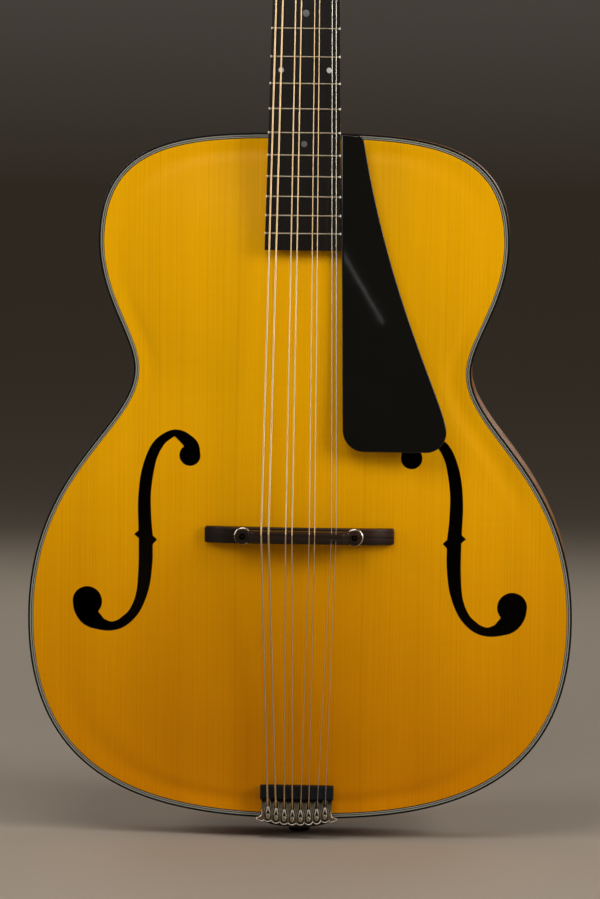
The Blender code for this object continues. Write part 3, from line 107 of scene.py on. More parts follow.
def makeWoodGrain():
    # year lines along z whose spacing widens away from the glue line, fibre streaks, and silk across them
    group, start, end = newGroup("woodGrain", (
        ("Vector", "Vector", None), ("Bookmatch", "Float", 1.0), ("Lines", "Float", 700.0),
        ("Widening", "Float", 1.2), ("Wander", "Float", 0.004), ("Silk", "Float", 0.5)),
        (("Year", "Float"), ("Fibre", "Float"), ("Cross", "Float"), ("Broad", "Float")))
    split = put(group, "ShaderNodeSeparateXYZ", {0: start.outputs["Vector"]})
    x, y, z = split.outputs
    side = calc(group, "MULTIPLY_ADD", calc(group, "SUBTRACT", calc(group, "ABSOLUTE", x), x),
                start.outputs["Bookmatch"], x)
    slow = put(group, "ShaderNodeCombineXYZ", {0: calc(group, "MULTIPLY", side, 9.0), 1: y, 2: z})
    wander = put(group, "ShaderNodeTexNoise", {"Vector": slow.outputs[0], "Scale": 3.0, "Detail": 1.0})
    shift = calc(group, "MULTIPLY", calc(group, "SUBTRACT", wander.outputs["Fac"], 0.5), start.outputs["Wander"])
    across = calc(group, "ADD", side, shift)
    bend = calc(group, "SUBTRACT", 1.0, calc(group, "MULTIPLY", calc(group, "ABSOLUTE", across),
                                             start.outputs["Widening"]))
    count = calc(group, "MULTIPLY", calc(group, "MULTIPLY", across, bend), start.outputs["Lines"])
    uneven = put(group, "ShaderNodeTexNoise", {"W": calc(group, "MULTIPLY", count, 0.23), "Scale": 1.0, "Detail": 2.0},
                 noise_dimensions="1D")
    phase = calc(group, "FRACT", calc(group, "MULTIPLY_ADD", uneven.outputs["Fac"], 5.0, count))
    line = calc(group, "POWER", phase, 2.2)
    dark = put(group, "ShaderNodeTexNoise", {"W": calc(group, "MULTIPLY", count, 0.11), "Scale": 1.0, "Detail": 3.0},
               noise_dimensions="1D")
    year = calc(group, "MULTIPLY", line, calc(group, "MULTIPLY", dark.outputs["Fac"], 1.6))
    streaks = put(group, "ShaderNodeCombineXYZ", {0: calc(group, "MULTIPLY", side, 1800.0),
                                                  1: calc(group, "MULTIPLY", y, 40.0),
                                                  2: calc(group, "MULTIPLY", z, 22.0)})
    fibre = put(group, "ShaderNodeTexNoise", {"Vector": streaks.outputs[0], "Scale": 1.0, "Detail": 3.0})
    bands = put(group, "ShaderNodeCombineXYZ", {0: calc(group, "MULTIPLY", side, 45.0), 1: y,
                                                2: calc(group, "MULTIPLY", z, 520.0)})
    silk = put(group, "ShaderNodeTexNoise", {"Vector": bands.outputs[0], "Scale": 1.0, "Detail": 2.0})
    cloud = put(group, "ShaderNodeTexNoise", {"Vector": slow.outputs[0], "Scale": 7.0, "Detail": 2.0})
    cross = calc(group, "MULTIPLY", calc(group, "MULTIPLY", silk.outputs["Fac"], cloud.outputs["Fac"]),
                 start.outputs["Silk"])
    for label, value in (("Year", year), ("Fibre", fibre.outputs["Fac"]), ("Cross", cross),
                         ("Broad", wander.outputs["Fac"])):
        group.links.new(value, end.inputs[label])
    return group


def makeFlame():
    # curly figure: uneven soft bands across the grain, each fading in and out along its length
    group, start, end = newGroup("curlyFlame", (
        ("Vector", "Vector", None), ("Bands", "Float", 90.0), ("Unrest", "Float", 0.6)),
        (("Flame", "Float"), ("Fine", "Float")))
    split = put(group, "ShaderNodeSeparateXYZ", {0: start.outputs["Vector"]})
    x, y, z = split.outputs
    place = put(group, "ShaderNodeCombineXYZ", {0: calc(group, "MULTIPLY", x, 14.0), 1: y,
                                                2: calc(group, "MULTIPLY", z, 24.0)})
    drift = put(group, "ShaderNodeTexNoise", {"Vector": place.outputs[0], "Scale": 1.0, "Detail": 2.0})
    turn = calc(group, "MULTIPLY_ADD", z, start.outputs["Bands"],
                calc(group, "MULTIPLY", drift.outputs["Fac"], calc(group, "MULTIPLY", start.outputs["Unrest"], 6.0)))
    wave = calc(group, "MULTIPLY_ADD", calc(group, "SINE", calc(group, "MULTIPLY", turn, 6.283)), 0.5, 0.5)
    depth = put(group, "ShaderNodeTexNoise", {"Vector": place.outputs[0], "Scale": 2.2, "Detail": 1.0})
    flame = calc(group, "MULTIPLY", wave, ramp(group, depth.outputs["Fac"], (0.3, 0.15), (0.65, 1.0)))
    fineVector = put(group, "ShaderNodeCombineXYZ", {0: calc(group, "MULTIPLY", x, 1500.0),
                                                     1: calc(group, "MULTIPLY", y, 400.0),
                                                     2: calc(group, "MULTIPLY", z, 60.0)})
    fine = put(group, "ShaderNodeTexNoise", {"Vector": fineVector.outputs[0], "Scale": 1.0, "Detail": 2.0})
    group.links.new(flame, end.inputs["Flame"])
    group.links.new(fine.outputs["Fac"], end.inputs["Fine"])
    return group


def makeHandling():
    # what use leaves on a finish: faint smears, hairline rubs along one direction and specks
    group, start, end = newGroup("handling", (
        ("Vector", "Vector", None), ("Base", "Float", 0.3), ("Amount", "Float", 0.1)),
        (("Roughness", "Float"), ("Specks", "Float"), ("Smear", "Float")))
    smear = put(group, "ShaderNodeTexNoise", {"Vector": start.outputs["Vector"], "Scale": 38.0, "Detail": 4.0,
                                              "Roughness": 0.6})
    long = put(group, "ShaderNodeMapping", {"Vector": start.outputs["Vector"], "Scale": (900.0, 900.0, 60.0),
                                            "Rotation": (0.2, 0.3, 0.0)})
    rub = put(group, "ShaderNodeTexNoise", {"Vector": long.outputs[0], "Scale": 1.0, "Detail": 2.0})
    both = calc(group, "ADD", calc(group, "SUBTRACT", smear.outputs["Fac"], 0.5),
                calc(group, "MULTIPLY", calc(group, "SUBTRACT", rub.outputs["Fac"], 0.5), 0.7))
    rough = calc(group, "MULTIPLY_ADD", both, start.outputs["Amount"], start.outputs["Base"])
    speck = put(group, "ShaderNodeTexVoronoi", {"Vector": start.outputs["Vector"], "Scale": 900.0})
    dots = calc(group, "LESS_THAN", speck.outputs["Distance"], 0.06)
    group.links.new(rough, end.inputs["Roughness"])
    group.links.new(dots, end.inputs["Specks"])
    group.links.new(smear.outputs["Fac"], end.inputs["Smear"])
    return group


woodGrain = makeWoodGrain()
curlyFlame = makeFlame()
handling = makeHandling()


def startMaterial(name, metallic=0.0, coat=0.0, coatRoughness=0.15, ior=1.5, specular=0.5):
    material = bpy.data.materials.new(name)
    material.use_nodes = True
    tree = material.node_tree
    shader = tree.nodes["Principled BSDF"]
    for label, value in (("Metallic", metallic), ("Coat Weight", coat), ("Coat Roughness", coatRoughness),
                         ("IOR", ior), ("Specular IOR Level", specular)):
        shader.inputs[label].default_value = value
    place = put(tree, "ShaderNodeTexCoord").outputs["Object"]
    return material, tree, shader, place


def useGroup(tree, group, **values):
    node = tree.nodes.new("ShaderNodeGroup")
    node.node_tree = group
    for label, value in values.items():
        if isinstance(value, bpy.types.NodeSocket):
            tree.links.new(value, node.inputs[label])
        else:
            node.inputs[label].default_value = value
    return node


def feed(tree, shader, colour=None, roughness=None, height=None, strength=0.2, distance=0.0002):
    for label, value in (("Base Color", colour), ("Roughness", roughness)):
        if value is not None:
            tree.links.new(value, shader.inputs[label])
    if height is not None:
        bump = put(tree, "ShaderNodeBump", {"Strength": strength, "Distance": distance, "Height": height})
        tree.links.new(bump.outputs[0], shader.inputs["Normal"])


def amberSpruce():
    # the colour darkens and reddens from the waist down to the tail: partly a real stain, partly painted shade where
    # the lower arch turns away from the lights
    look = {"light": (0.92, 0.445, 0.0006), "dark": (0.60, 0.20, 0.0004), "cross": (0.98, 0.52, 0.001),
            "lines": 760.0, "rough": 0.36, "tailStainAndShade": (0.76, 0.56, 0.5), "tintFrom": 30 * mm, "tintOver": 260 * mm,
            "deep": (0.87, 0.83, 0.7), "deepAt": (-18 * mm, 120 * mm), "deepHalf": (115 * mm, 95 * mm)}
    material, tree, shader, place = startMaterial("amberSpruce", specular=0.06)
    grain = useGroup(tree, woodGrain, Vector=place, Lines=look["lines"], Widening=1.2, Wander=0.008, Silk=1.3)
    year = ramp(tree, grain.outputs["Year"], (0.05, 0.0), (0.8, 1.0))
    colour = blendColour(tree, calc(tree, "MULTIPLY", year, 0.28), look["light"], look["dark"])
    fibre = ramp(tree, grain.outputs["Fibre"], (0.35, 0.0), (0.7, 1.0))
    colour = blendColour(tree, calc(tree, "MULTIPLY", fibre, 0.12), colour, look["dark"])
    colour = blendColour(tree, calc(tree, "MULTIPLY", grain.outputs["Cross"], 0.4), colour, look["cross"])
    broad = ramp(tree, grain.outputs["Broad"], (0.3, (0.93, 0.92, 0.9)), (0.7, (1.0, 1.0, 1.0)))
    colour = blendColour(tree, 1.0, colour, broad, "MULTIPLY")
    across, _, height = put(tree, "ShaderNodeSeparateXYZ", {0: place}).outputs
    # darker towards the tail: partly a real stain, partly painted shade
    share = calc(tree, "DIVIDE", calc(tree, "SUBTRACT", height, look["tintFrom"]), look["tintOver"])
    tint = ramp(tree, share, (0.0, look["tailStainAndShade"]), (1.0, (1.0, 1.0, 1.0)))
    colour = blendColour(tree, 1.0, colour, tint, "MULTIPLY")
    # distance from the middle of the darker patch below the bridge, in halves of its size: partly a real stain, partly
    # painted shade under the bridge
    away = [calc(tree, "POWER", calc(tree, "DIVIDE", calc(tree, "SUBTRACT", value, middle), half), 2.0)
            for value, middle, half in zip((across, height), look["deepAt"], look["deepHalf"])]
    deep = ramp(tree, calc(tree, "ADD", *away), (0.0, look["deep"]), (0.45, tuple(0.4 + 0.6 * c for c in look["deep"])),
                (1.0, (1.0, 1.0, 1.0)))
    colour = blendColour(tree, 1.0, colour, deep, "MULTIPLY")
    worn = useGroup(tree, handling, Vector=place, Base=look["rough"], Amount=0.08)
    feed(tree, shader, colour, worn.outputs["Roughness"], year, 0.06, 0.00008)
    return material


def flamedMaple(name, light, dark, bands=85.0, rough=0.3, coat=0.25, uvPlace=False):
    material, tree, shader, place = startMaterial(name, coat=coat, coatRoughness=0.16, specular=0.35)
    if uvPlace:
        # on bands, u is metres along the path and v metres across it, so u takes the part of z
        uv = put(tree, "ShaderNodeSeparateXYZ", {0: put(tree, "ShaderNodeUVMap", uv_map="lengths").outputs[0]})
        place = put(tree, "ShaderNodeCombineXYZ", {0: uv.outputs[1], 1: 0.0, 2: uv.outputs[0]}).outputs[0]
    flame = useGroup(tree, curlyFlame, Vector=place, Bands=bands, Unrest=0.5)
    grain = useGroup(tree, woodGrain, Vector=place, Lines=420.0, Widening=0.0, Wander=0.02, Silk=0.4)
    colour = blendColour(tree, ramp(tree, flame.outputs["Flame"], (0.0, 0.0), (0.9, 0.8)), light, dark)
    colour = blendColour(tree, calc(tree, "MULTIPLY", flame.outputs["Fine"], 0.3), colour, dark)
    colour = blendColour(tree, calc(tree, "MULTIPLY", grain.outputs["Year"], 0.25), colour, dark)
    worn = useGroup(tree, handling, Vector=place, Base=rough, Amount=0.12)
    feed(tree, shader, colour, worn.outputs["Roughness"], flame.outputs["Flame"], 0.03, 0.0002)
    return material


def bareWood(name, light, dark):
    material, tree, shader, place = startMaterial(name, specular=0.1)
    grain = useGroup(tree, woodGrain, Vector=place, Lines=500.0, Widening=0.0, Wander=0.01, Silk=0.6)
    colour = blendColour(tree, grain.outputs["Year"], light, dark)
    colour = blendColour(tree, calc(tree, "MULTIPLY", grain.outputs["Fibre"], 0.4), colour, dark)
    worn = useGroup(tree, handling, Vector=place, Base=0.75, Amount=0.15)
    feed(tree, shader, colour, worn.outputs["Roughness"], grain.outputs["Fibre"], 0.15, 0.0002)
    return material


def ebonyWood(name="ebonyWood", streak=0.25, along="z", rough=0.36, brown=(0.04, 0.022, 0.012), specular=0.16):
    # near-black wood with brown streaks along one axis and short open pores
    material, tree, shader, place = startMaterial(name, specular=specular)
    if along == "x":
        place = put(tree, "ShaderNodeMapping", {"Vector": place, "Rotation": (0.0, math.pi / 2, 0.0)}).outputs[0]
    grain = useGroup(tree, woodGrain, Vector=place, Bookmatch=0.0, Lines=260.0, Widening=0.0, Wander=0.02, Silk=0.2)
    streaks = calc(tree, "MULTIPLY", ramp(tree, grain.outputs["Broad"], (0.42, 0.0), (0.7, 1.0)), grain.outputs["Year"])
    colour = blendColour(tree, calc(tree, "MULTIPLY", streaks, streak * 3), (0.0062, 0.0050, 0.0040), brown)
    colour = blendColour(tree, calc(tree, "MULTIPLY", grain.outputs["Fibre"], streak * 0.3), colour, brown)
    pores = ramp(tree, grain.outputs["Fibre"], (0.62, 1.0), (0.72, 0.0))
    worn = useGroup(tree, handling, Vector=place, Base=rough, Amount=0.16)
    feed(tree, shader, colour, worn.outputs["Roughness"], pores, 0.12, 0.0002)
    return material


def plastic(name, colour, rough=0.2, amount=0.1, specular=0.5, speckle=0.0):
    material, tree, shader, place = startMaterial(name, specular=specular)
    worn = useGroup(tree, handling, Vector=place, Base=rough, Amount=amount)
    lighter = tuple(min(1.0, c * 1.25 + 0.004) for c in colour)
    tint = blendColour(tree, calc(tree, "MULTIPLY", worn.outputs["Smear"], 0.35), colour, lighter)
    if speckle:
        tint = blendColour(tree, calc(tree, "MULTIPLY", worn.outputs["Specks"], speckle), tint, (0.2, 0.18, 0.15))
    feed(tree, shader, tint, worn.outputs["Roughness"], worn.outputs["Smear"], 0.02, 0.0001)
    return material


def metal(name, colour, rough=0.22, amount=0.14, tarnish=0.25, dark=None):
    material, tree, shader, place = startMaterial(name, metallic=1.0)
    worn = useGroup(tree, handling, Vector=place, Base=rough, Amount=amount)
    dull = dark or tuple(c * 0.6 for c in colour)
    tint = blendColour(tree, calc(tree, "MULTIPLY", worn.outputs["Smear"], tarnish), colour, dull)
    feed(tree, shader, tint, worn.outputs["Roughness"], worn.outputs["Smear"], 0.03, 0.0001)
    return material


def woundMetal(name, colour, pitch, rough=0.3):
    # wire wound round a core: ridges one pitch apart along the string
    material, tree, shader, place = startMaterial(name, metallic=1.0)
    along = put(tree, "ShaderNodeSeparateXYZ", {0: place}).outputs[2]
    ridge = calc(tree, "MULTIPLY_ADD", calc(tree, "SINE", calc(tree, "MULTIPLY", along, 2 * math.pi / pitch)), 0.5, 0.5)
    worn = useGroup(tree, handling, Vector=place, Base=rough, Amount=0.12)
    tint = blendColour(tree, calc(tree, "MULTIPLY", ridge, 0.45), tuple(c * 0.55 for c in colour), colour)
    feed(tree, shader, tint, worn.outputs["Roughness"], ridge, 0.35, 0.00006)
    return material


def pearl(name, tone):
    material, tree, shader, place = startMaterial(name, coat=0.2, specular=0.5)
    layers = put(tree, "ShaderNodeTexVoronoi", {"Vector": place, "Scale": 420.0})
    swirl = put(tree, "ShaderNodeTexNoise", {"Vector": place, "Scale": 300.0, "Detail": 2.0, "Distortion": 1.5})
    tints = [tuple(tone * c for c in shade) for shade in ((0.68, 0.70, 0.65), (1.0, 0.97, 0.89), (0.8, 0.76, 0.8))]
    colour = ramp(tree, swirl.outputs["Fac"], (0.3, tints[0]), (0.5, tints[1]), (0.7, tints[2]))
    worn = useGroup(tree, handling, Vector=place, Base=0.25, Amount=0.1)
    feed(tree, shader, colour, worn.outputs["Roughness"], layers.outputs["Distance"], 0.05, 0.0001)
    return material


finish = {
    "spruce": amberSpruce(),
    "holeEdge": plastic("holeEdge", (0.03, 0.018, 0.008), 0.5),
    "maple": flamedMaple("flamedMaple", (0.60, 0.26, 0.03), (0.33, 0.11, 0.012)),
    "ribMaple": flamedMaple("ribMaple", (0.50, 0.19, 0.018), (0.28, 0.085, 0.008), coat=0.08, uvPlace=True),
    "neckMaple": flamedMaple("neckMaple", (0.47, 0.22, 0.055), (0.27, 0.10, 0.022), bands=110.0, rough=0.38, coat=0.1),
    # the inner wood is far darker than real bare wood: painted shade inside the closed box
    "bare": bareWood("bareWood", (0.16, 0.10, 0.055), (0.09, 0.05, 0.025)),
    "inside": bareWood("shadedInsideMaple", (0.085, 0.055, 0.035), (0.05, 0.03, 0.018)),
    "ebony": ebonyWood(),
    "bridgeEbony": ebonyWood("bridgeEbony", 0.5, "x", 0.34, (0.055, 0.024, 0.012), 0.22),
    "headEbony": ebonyWood("headEbony", 0.12, "z", 0.2, specular=0.4),
    "binding": plastic("blackBinding", (0.004, 0.004, 0.004), 0.3, 0.1, 0.08),
    "whiteLine": plastic("whiteLine", (0.27, 0.27, 0.225), 0.35, specular=0.2),
    "guard": plastic("guardBlack", (0.0040, 0.0038, 0.0030), 0.022, 0.012, 0.4, 0.3),
    "bone": plastic("polishedBone", (0.72, 0.65, 0.5), 0.28),
    "nickel": metal("nickel", (0.60, 0.57, 0.50), 0.24),
    "castNickel": metal("castNickel", (0.24, 0.20, 0.14), 0.36, 0.2, 0.4),
    # the rim is far brighter than the casting: a painted highlight along its edge
    "rimHighlightNickel": metal("rimHighlightNickel", (0.95, 0.93, 0.86), 0.3, 0.1, 0.1),
    "brass": metal("brass", (0.12, 0.08, 0.04), 0.45),
    "steel": metal("steel", (0.50, 0.49, 0.48), 0.35),
    "fretWire": metal("fretWire", (0.52, 0.44, 0.31), 0.3, 0.1, 0.2),
    # the fret ends are pale plastic rather than nickel: a painted highlight
    "fretEndGlint": plastic("fretEndGlint", (0.80, 0.78, 0.70), 0.2, 0.05),
    "bronze": woundMetal("bronzeWire", (0.95, 0.68, 0.37), 0.00028, 0.38),
    "plain": metal("plainSteel", (0.60, 0.57, 0.49), 0.32, 0.08, 0.15),
    "loop": metal("loopSteel", (0.95, 0.93, 0.88), 0.42, 0.08, 0.1),
    "rubber": plastic("rubberBlack", (0.0055, 0.0062, 0.007), 0.6, 0.15, 0.15),
    "cup": metal("cupShadow", (0.05, 0.042, 0.03), 0.5, 0.15, 0.3),
    "hook": metal("hookMetal", (0.42, 0.37, 0.27), 0.36, 0.15, 0.4),
    "ramp": metal("rampNickel", (0.075, 0.062, 0.042), 0.5, 0.15, 0.5),
    "pearl": pearl("pearl", 0.62),
    "dullPearl": pearl("dullPearl", 0.14),
}
print("finishes made:", len(finish))


# Mesh helpers
def meshFrom(name, points, faces, material, body="instrument", slot=None, groups=None, materials=None, uv=None,
             smooth=35, merge=1e-6):
    # A closed mesh from points and faces, normals out, riding on a body.
    mesh = bpy.data.meshes.new(name)
    mesh.from_pydata(np.asarray(points).reshape(-1, 3).tolist(), [], faces)
    for each in materials or [material]:
        mesh.materials.append(each)
    if groups is not None:
        mesh.polygons.foreach_set("material_index", np.asarray(groups, dtype=np.int32))
    if uv is not None:
        layer = mesh.uv_layers.new(name="lengths")
        corners = np.empty(len(mesh.loops), dtype=np.int32)
        mesh.loops.foreach_get("vertex_index", corners)
        layer.data.foreach_set("uv", np.asarray(uv, dtype=np.float32)[corners].ravel())
    form = bmesh.new()
    form.from_mesh(mesh)
    bmesh.ops.remove_doubles(form, verts=form.verts, dist=merge)
    bmesh.ops.dissolve_degenerate(form, edges=form.edges, dist=merge)
    bmesh.ops.recalc_face_normals(form, faces=form.faces)
    form.to_mesh(mesh)
    form.free()
    mesh.shade_smooth()
    mesh.set_sharp_from_angle(angle=math.radians(smooth))
    piece = bpy.data.objects.new(name, mesh)
    bpy.context.scene.collection.objects.link(piece)
    if body:
        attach(piece, body)
    return piece


def gridFaces(rows, columns, loopRows=False, loopColumns=False, start=0):
    # quads between neighbours of a grid stored row by row
    r = np.arange(rows if loopRows else rows - 1)[:, None]
    c = np.arange(columns if loopColumns else columns - 1)[None, :]
    below, beside = (r + 1) % rows, (c + 1) % columns
    quads = np.stack(np.broadcast_arrays(r * columns + c, r * columns + beside, below * columns + beside,
                                         below * columns + c), axis=-1)
    return (quads.reshape(-1, 4) + start).tolist()


def sweep(name, rings, material, closedPath=False, **more):
    # Rings of points (rows, columns, 3) joined in order; an open path gets a flat end at each end.
    rings = np.asarray(rings, dtype=float)
    rows, columns = rings.shape[:2]
    faces = gridFaces(rows, columns, closedPath, True)
    if not closedPath:
        faces += [list(range(columns)), list(range((rows - 1) * columns, rows * columns))]
    return meshFrom(name, rings, faces, material, **more)


def arcOf(radius, turns, centre=(0.0, 0.0)):
    return np.column_stack((centre[0] + radius * np.cos(turns), centre[1] + radius * np.sin(turns)))


def cutWith(piece, tool, operation="DIFFERENCE", smooth=35):
    change = piece.modifiers.new("cut", "BOOLEAN")
    change.operation = operation
    change.solver = "EXACT"
    change.object = tool
    bpy.context.view_layer.update()
    made = bpy.data.meshes.new_from_object(piece.evaluated_get(bpy.context.evaluated_depsgraph_get()))
    piece.modifiers.clear()
    made.shade_smooth()
    made.set_sharp_from_angle(angle=math.radians(smooth))
    piece.data = made
    bpy.data.objects.remove(tool, do_unlink=True)


# Body
body = {"tail": 13 * mm, "top": 462.9 * mm, "front": -38.5 * mm, "rib": 34 * mm,
        "lowerHalf": 178.5 * mm, "lowerHeight": 131.8 * mm, "waistHalf": 110.3 * mm, "waistHeight": 294.2 * mm,
        "upperHalf": 134.2 * mm, "upperHeight": 379 * mm, "tailRound": 78 * mm, "lowerBelow": 122 * mm,
        "lowerAbove": 96.3 * mm, "waistBelow": 37.9 * mm, "waistAbove": 21.4 * mm, "upperBelow": 38.4 * mm,
        "upperAbove": 70.5 * mm, "shoulderRound": 71 * mm, "bridge": 202.6685 * mm,
        "bindingWidth": 1.25 * mm, "bindingHeight": 6 * mm, "steps": 44}
plateLook = {"topArch": 16 * mm, "backArch": 15 * mm, "drop": 0.55, "fullness": 0.72, "hollow": 0.8 * mm,
             "hollowShare": 0.16, "spineTail": 95 * mm, "spineNeck": 101 * mm, "thick": 4.4 * mm,
             "shares": np.concatenate((np.linspace(0, 0.16, 13), np.linspace(0.19, 1, 34)))}


def outlineAt(place, offset=0.0):
    # Points of the treble half: four Bezier arcs, tail 0, widest 1, waist 2, upper bout 3, neck 4, set in by offset.
    b = body
    knots = np.array([
        [(0, b["tail"]), (b["tailRound"], b["tail"]),
         (b["lowerHalf"], b["tail"] + b["lowerHeight"] - b["lowerBelow"]), (b["lowerHalf"], b["tail"] + b["lowerHeight"])],
        [(b["lowerHalf"], b["tail"] + b["lowerHeight"]), (b["lowerHalf"], b["tail"] + b["lowerHeight"] + b["lowerAbove"]),
         (b["waistHalf"], b["tail"] + b["waistHeight"] - b["waistBelow"]), (b["waistHalf"], b["tail"] + b["waistHeight"])],
        [(b["waistHalf"], b["tail"] + b["waistHeight"]), (b["waistHalf"], b["tail"] + b["waistHeight"] + b["waistAbove"]),
         (b["upperHalf"], b["tail"] + b["upperHeight"] - b["upperBelow"]), (b["upperHalf"], b["tail"] + b["upperHeight"])],
        [(b["upperHalf"], b["tail"] + b["upperHeight"]), (b["upperHalf"], b["tail"] + b["upperHeight"] + b["upperAbove"]),
         (b["shoulderRound"], b["top"]), (0, b["top"])]])
    place = np.asarray(place, dtype=float)
    which = np.minimum(place.astype(int), 3)
    t = (place - which)[:, None]
    s = 1 - t
    p = knots[which]
    point = s ** 3 * p[:, 0] + 3 * s * s * t * p[:, 1] + 3 * s * t * t * p[:, 2] + t ** 3 * p[:, 3]
    slope = s * s * (p[:, 1] - p[:, 0]) + 2 * s * t * (p[:, 2] - p[:, 1]) + t * t * (p[:, 3] - p[:, 2])
    slope /= np.linalg.norm(slope, axis=1)[:, None]
    return point + offset * np.column_stack((-slope[:, 1], slope[:, 0]))


def wholeLoop(offset):
    place = np.linspace(0, 4, 4 * body["steps"] + 1)
    treble = outlineAt(place, offset)
    return np.concatenate((treble, treble[-2:0:-1] * (-1, 1)))


def edgeBand(name, profile, material, **more):
    # A closed section of (inset, y) points carried once round the outline.
    loops = np.stack([wholeLoop(inset) for inset, _ in profile], axis=1)
    depth = np.broadcast_to(np.array([y for _, y in profile]), loops.shape[:2])
    rings = np.stack((loops[..., 0], depth, loops[..., 1]), axis=-1)
    return sweep(name, rings, material, closedPath=True, **more)


def archHeight(arch, share, z):
    # Rise = (1 - cos(pi share^fullness)) / 2, lowered towards both ends, less a hollow just inside the edge.
    p = plateLook
    half = np.where(z > body["bridge"], body["top"] - body["bridge"], body["bridge"] - body["tail"])
    fall = 1 - p["drop"] * ((z - body["bridge"]) / half) ** 2
    rise = (1 - np.cos(np.pi * share ** p["fullness"])) / 2
    hollow = np.sin(np.pi * np.clip(share / p["hollowShare"], 0, 1)) ** 2
    return arch * fall * rise - p["hollow"] * hollow


def plateGrid(edgeInset, shares):
    # Loops between the inset edge and the spine: point = edge + (spine - edge) share.
    edge = wholeLoop(edgeInset)
    low, high = body["tail"] + plateLook["spineTail"], body["top"] - plateLook["spineNeck"]
    along = (edge[:, 1] - edge[:, 1].min()) / np.ptp(edge[:, 1])
    spine = np.column_stack((np.zeros(len(edge)), low + (high - low) * along))
    return edge[None] + (spine - edge)[None] * np.asarray(shares)[:, None, None]


def buildPlate(name, arch, facing, edgeInset, material, **more):
    # An arched plate: outer face, its edge, and an inner face one thickness behind.
    shares = plateLook["shares"]
    outer = plateGrid(edgeInset, shares)
    height = archHeight(arch, np.broadcast_to(shares[:, None], outer.shape[:2]), outer[..., 1])
    level = -body["front"] + height
    inner = level - plateLook["thick"] - 0.8 * mm * shares[:, None]
    faceOut = np.stack((outer[..., 0], facing * level, outer[..., 1]), axis=-1)[::-1]
    faceIn = np.stack((outer[..., 0], facing * inner, outer[..., 1]), axis=-1)
    rings = np.concatenate((faceOut, faceIn))
    faces = gridFaces(len(rings), rings.shape[1], False, True)
    within = np.repeat(np.arange(len(rings) - 1) >= len(shares), rings.shape[1])
    # the inner face takes the darkened inside wood: painted shade inside the closed box
    return meshFrom(name, rings, faces, None, smooth=40, materials=[material, finish["inside"]], groups=within, **more)


hole = {"x": 100.9, "drop": 5.8, "fine": 9,
        "edgeUp": ((4.8, 5.2), (5.4, 25.3), (3.2, 45.2), (-3.3, 61.9), (-13.6, 70.3), (-22.5, 71.1), (-30.4, 66.8),
                   (-34.3, 61.9)),
        "edgeDown": ((-18.1, 67.1), (-12.1, 62.4), (-7.7, 55), (-5.3, 46.6), (-3.2, 30.9), (-3.5, 15.3), (-4.7, 2.2)),
        "innerNick": (-7.6, -0.6),
        "tailOuter": ((-4.8, -3.6), (-4.7, -15.9), (-2.6, -32.4), (3.3, -47.8), (12.3, -57.6), (22.9, -61.3),
                      (34.9, -60.0), (41.0, -57.2), (44.9, -52.9), (47.2, -48.0)),
        "tailInner": ((27.0, -53.6), (22.6, -55.2), (18.9, -54.3), (15.9, -52.4), (10, -46.5), (5.9, -35.5), (4.6, -19.2), (4.6, -0.2)),
        "outerNick": (7.7, 2.6), "upperEye": (-28.5, 55, 7, 180, 415), "lowerEye": (38.3, -42.2, 9.8, 0, 222)}


def curveThrough(points, steps):
    # A Catmull-Rom curve through the points.
    line = np.array(points, dtype=float)
    line = np.concatenate((2 * line[:1] - line[1:2], line, 2 * line[-1:] - line[-2:-1]))
    t = (np.arange(steps) / steps)[None, :, None]
    a, b, c, d = (line[k:len(line) - 3 + k][:, None] for k in range(4))
    curve = 0.5 * (2 * b + (c - a) * t + (2 * a - 5 * b + 4 * c - d) * t ** 2 + (3 * b - a - 3 * c + d) * t ** 3)
    return np.concatenate((curve.reshape(-1, 2), line[-2:-1]))


def holeOutline(side):
    h = hole
    eyes = []
    for x, z, radius, start, end in (h["upperEye"], h["lowerEye"]):
        eyes.append(arcOf(radius, np.radians(np.linspace(start, end, 4 * h["fine"])), (x, z)))
    line = np.concatenate((
        curveThrough(h["edgeUp"] + (tuple(eyes[0][0]),), h["fine"])[:-1], eyes[0],
        curveThrough(h["edgeDown"], h["fine"]), [h["innerNick"]],
        curveThrough(h["tailOuter"] + (tuple(eyes[1][0]),), h["fine"])[:-1], eyes[1],
        curveThrough(h["tailInner"], h["fine"]), [h["outerNick"]]))
    return np.column_stack((side * (h["x"] + line[:, 0]), body["bridge"] / mm - h["drop"] + line[:, 1])) * mm


def buildTop():
    top = buildPlate("topPlate", plateLook["topArch"], -1, 3.45 * mm, finish["spruce"], slot="spruce_top")
    for side in (-1, 1):
        line = holeOutline(side)
        rings = np.stack([np.column_stack((line[:, 0], np.full(len(line), y), line[:, 1])) for y in (-90 * mm, 0)])
        tool = sweep("holeTool", rings, finish["holeEdge"], body=None)
        cutWith(top, tool)
    mesh = top.data
    mesh.materials.append(finish["holeEdge"])
    edgeSlot = len(mesh.materials) - 1
    count = len(mesh.polygons)
    groups = np.empty(count, dtype=np.int32)
    mesh.polygons.foreach_get("material_index", groups)
    normal, centre = np.empty(count * 3), np.empty(count * 3)
    mesh.polygons.foreach_get("normal", normal)
    mesh.polygons.foreach_get("center", centre)
    normal, centre = normal.reshape(-1, 3), centre.reshape(-1, 3)
    edge = wholeLoop(0)[:2 * body["steps"] * 2 + 1]
    halfWidth = np.interp(centre[:, 2], edge[:4 * body["steps"] + 1, 1], edge[:4 * body["steps"] + 1, 0])
    wall = (abs(normal[:, 1]) < 0.6) & (abs(centre[:, 2] - body["bridge"]) < 85 * mm)
    wall &= halfWidth - abs(centre[:, 0]) > 8 * mm
    mesh.polygons.foreach_set("material_index", np.where(wall, edgeSlot, groups).astype(np.int32))
    mesh.shade_smooth()
    mesh.set_sharp_from_angle(angle=math.radians(40))
    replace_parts(top, "top_plate")
    return top


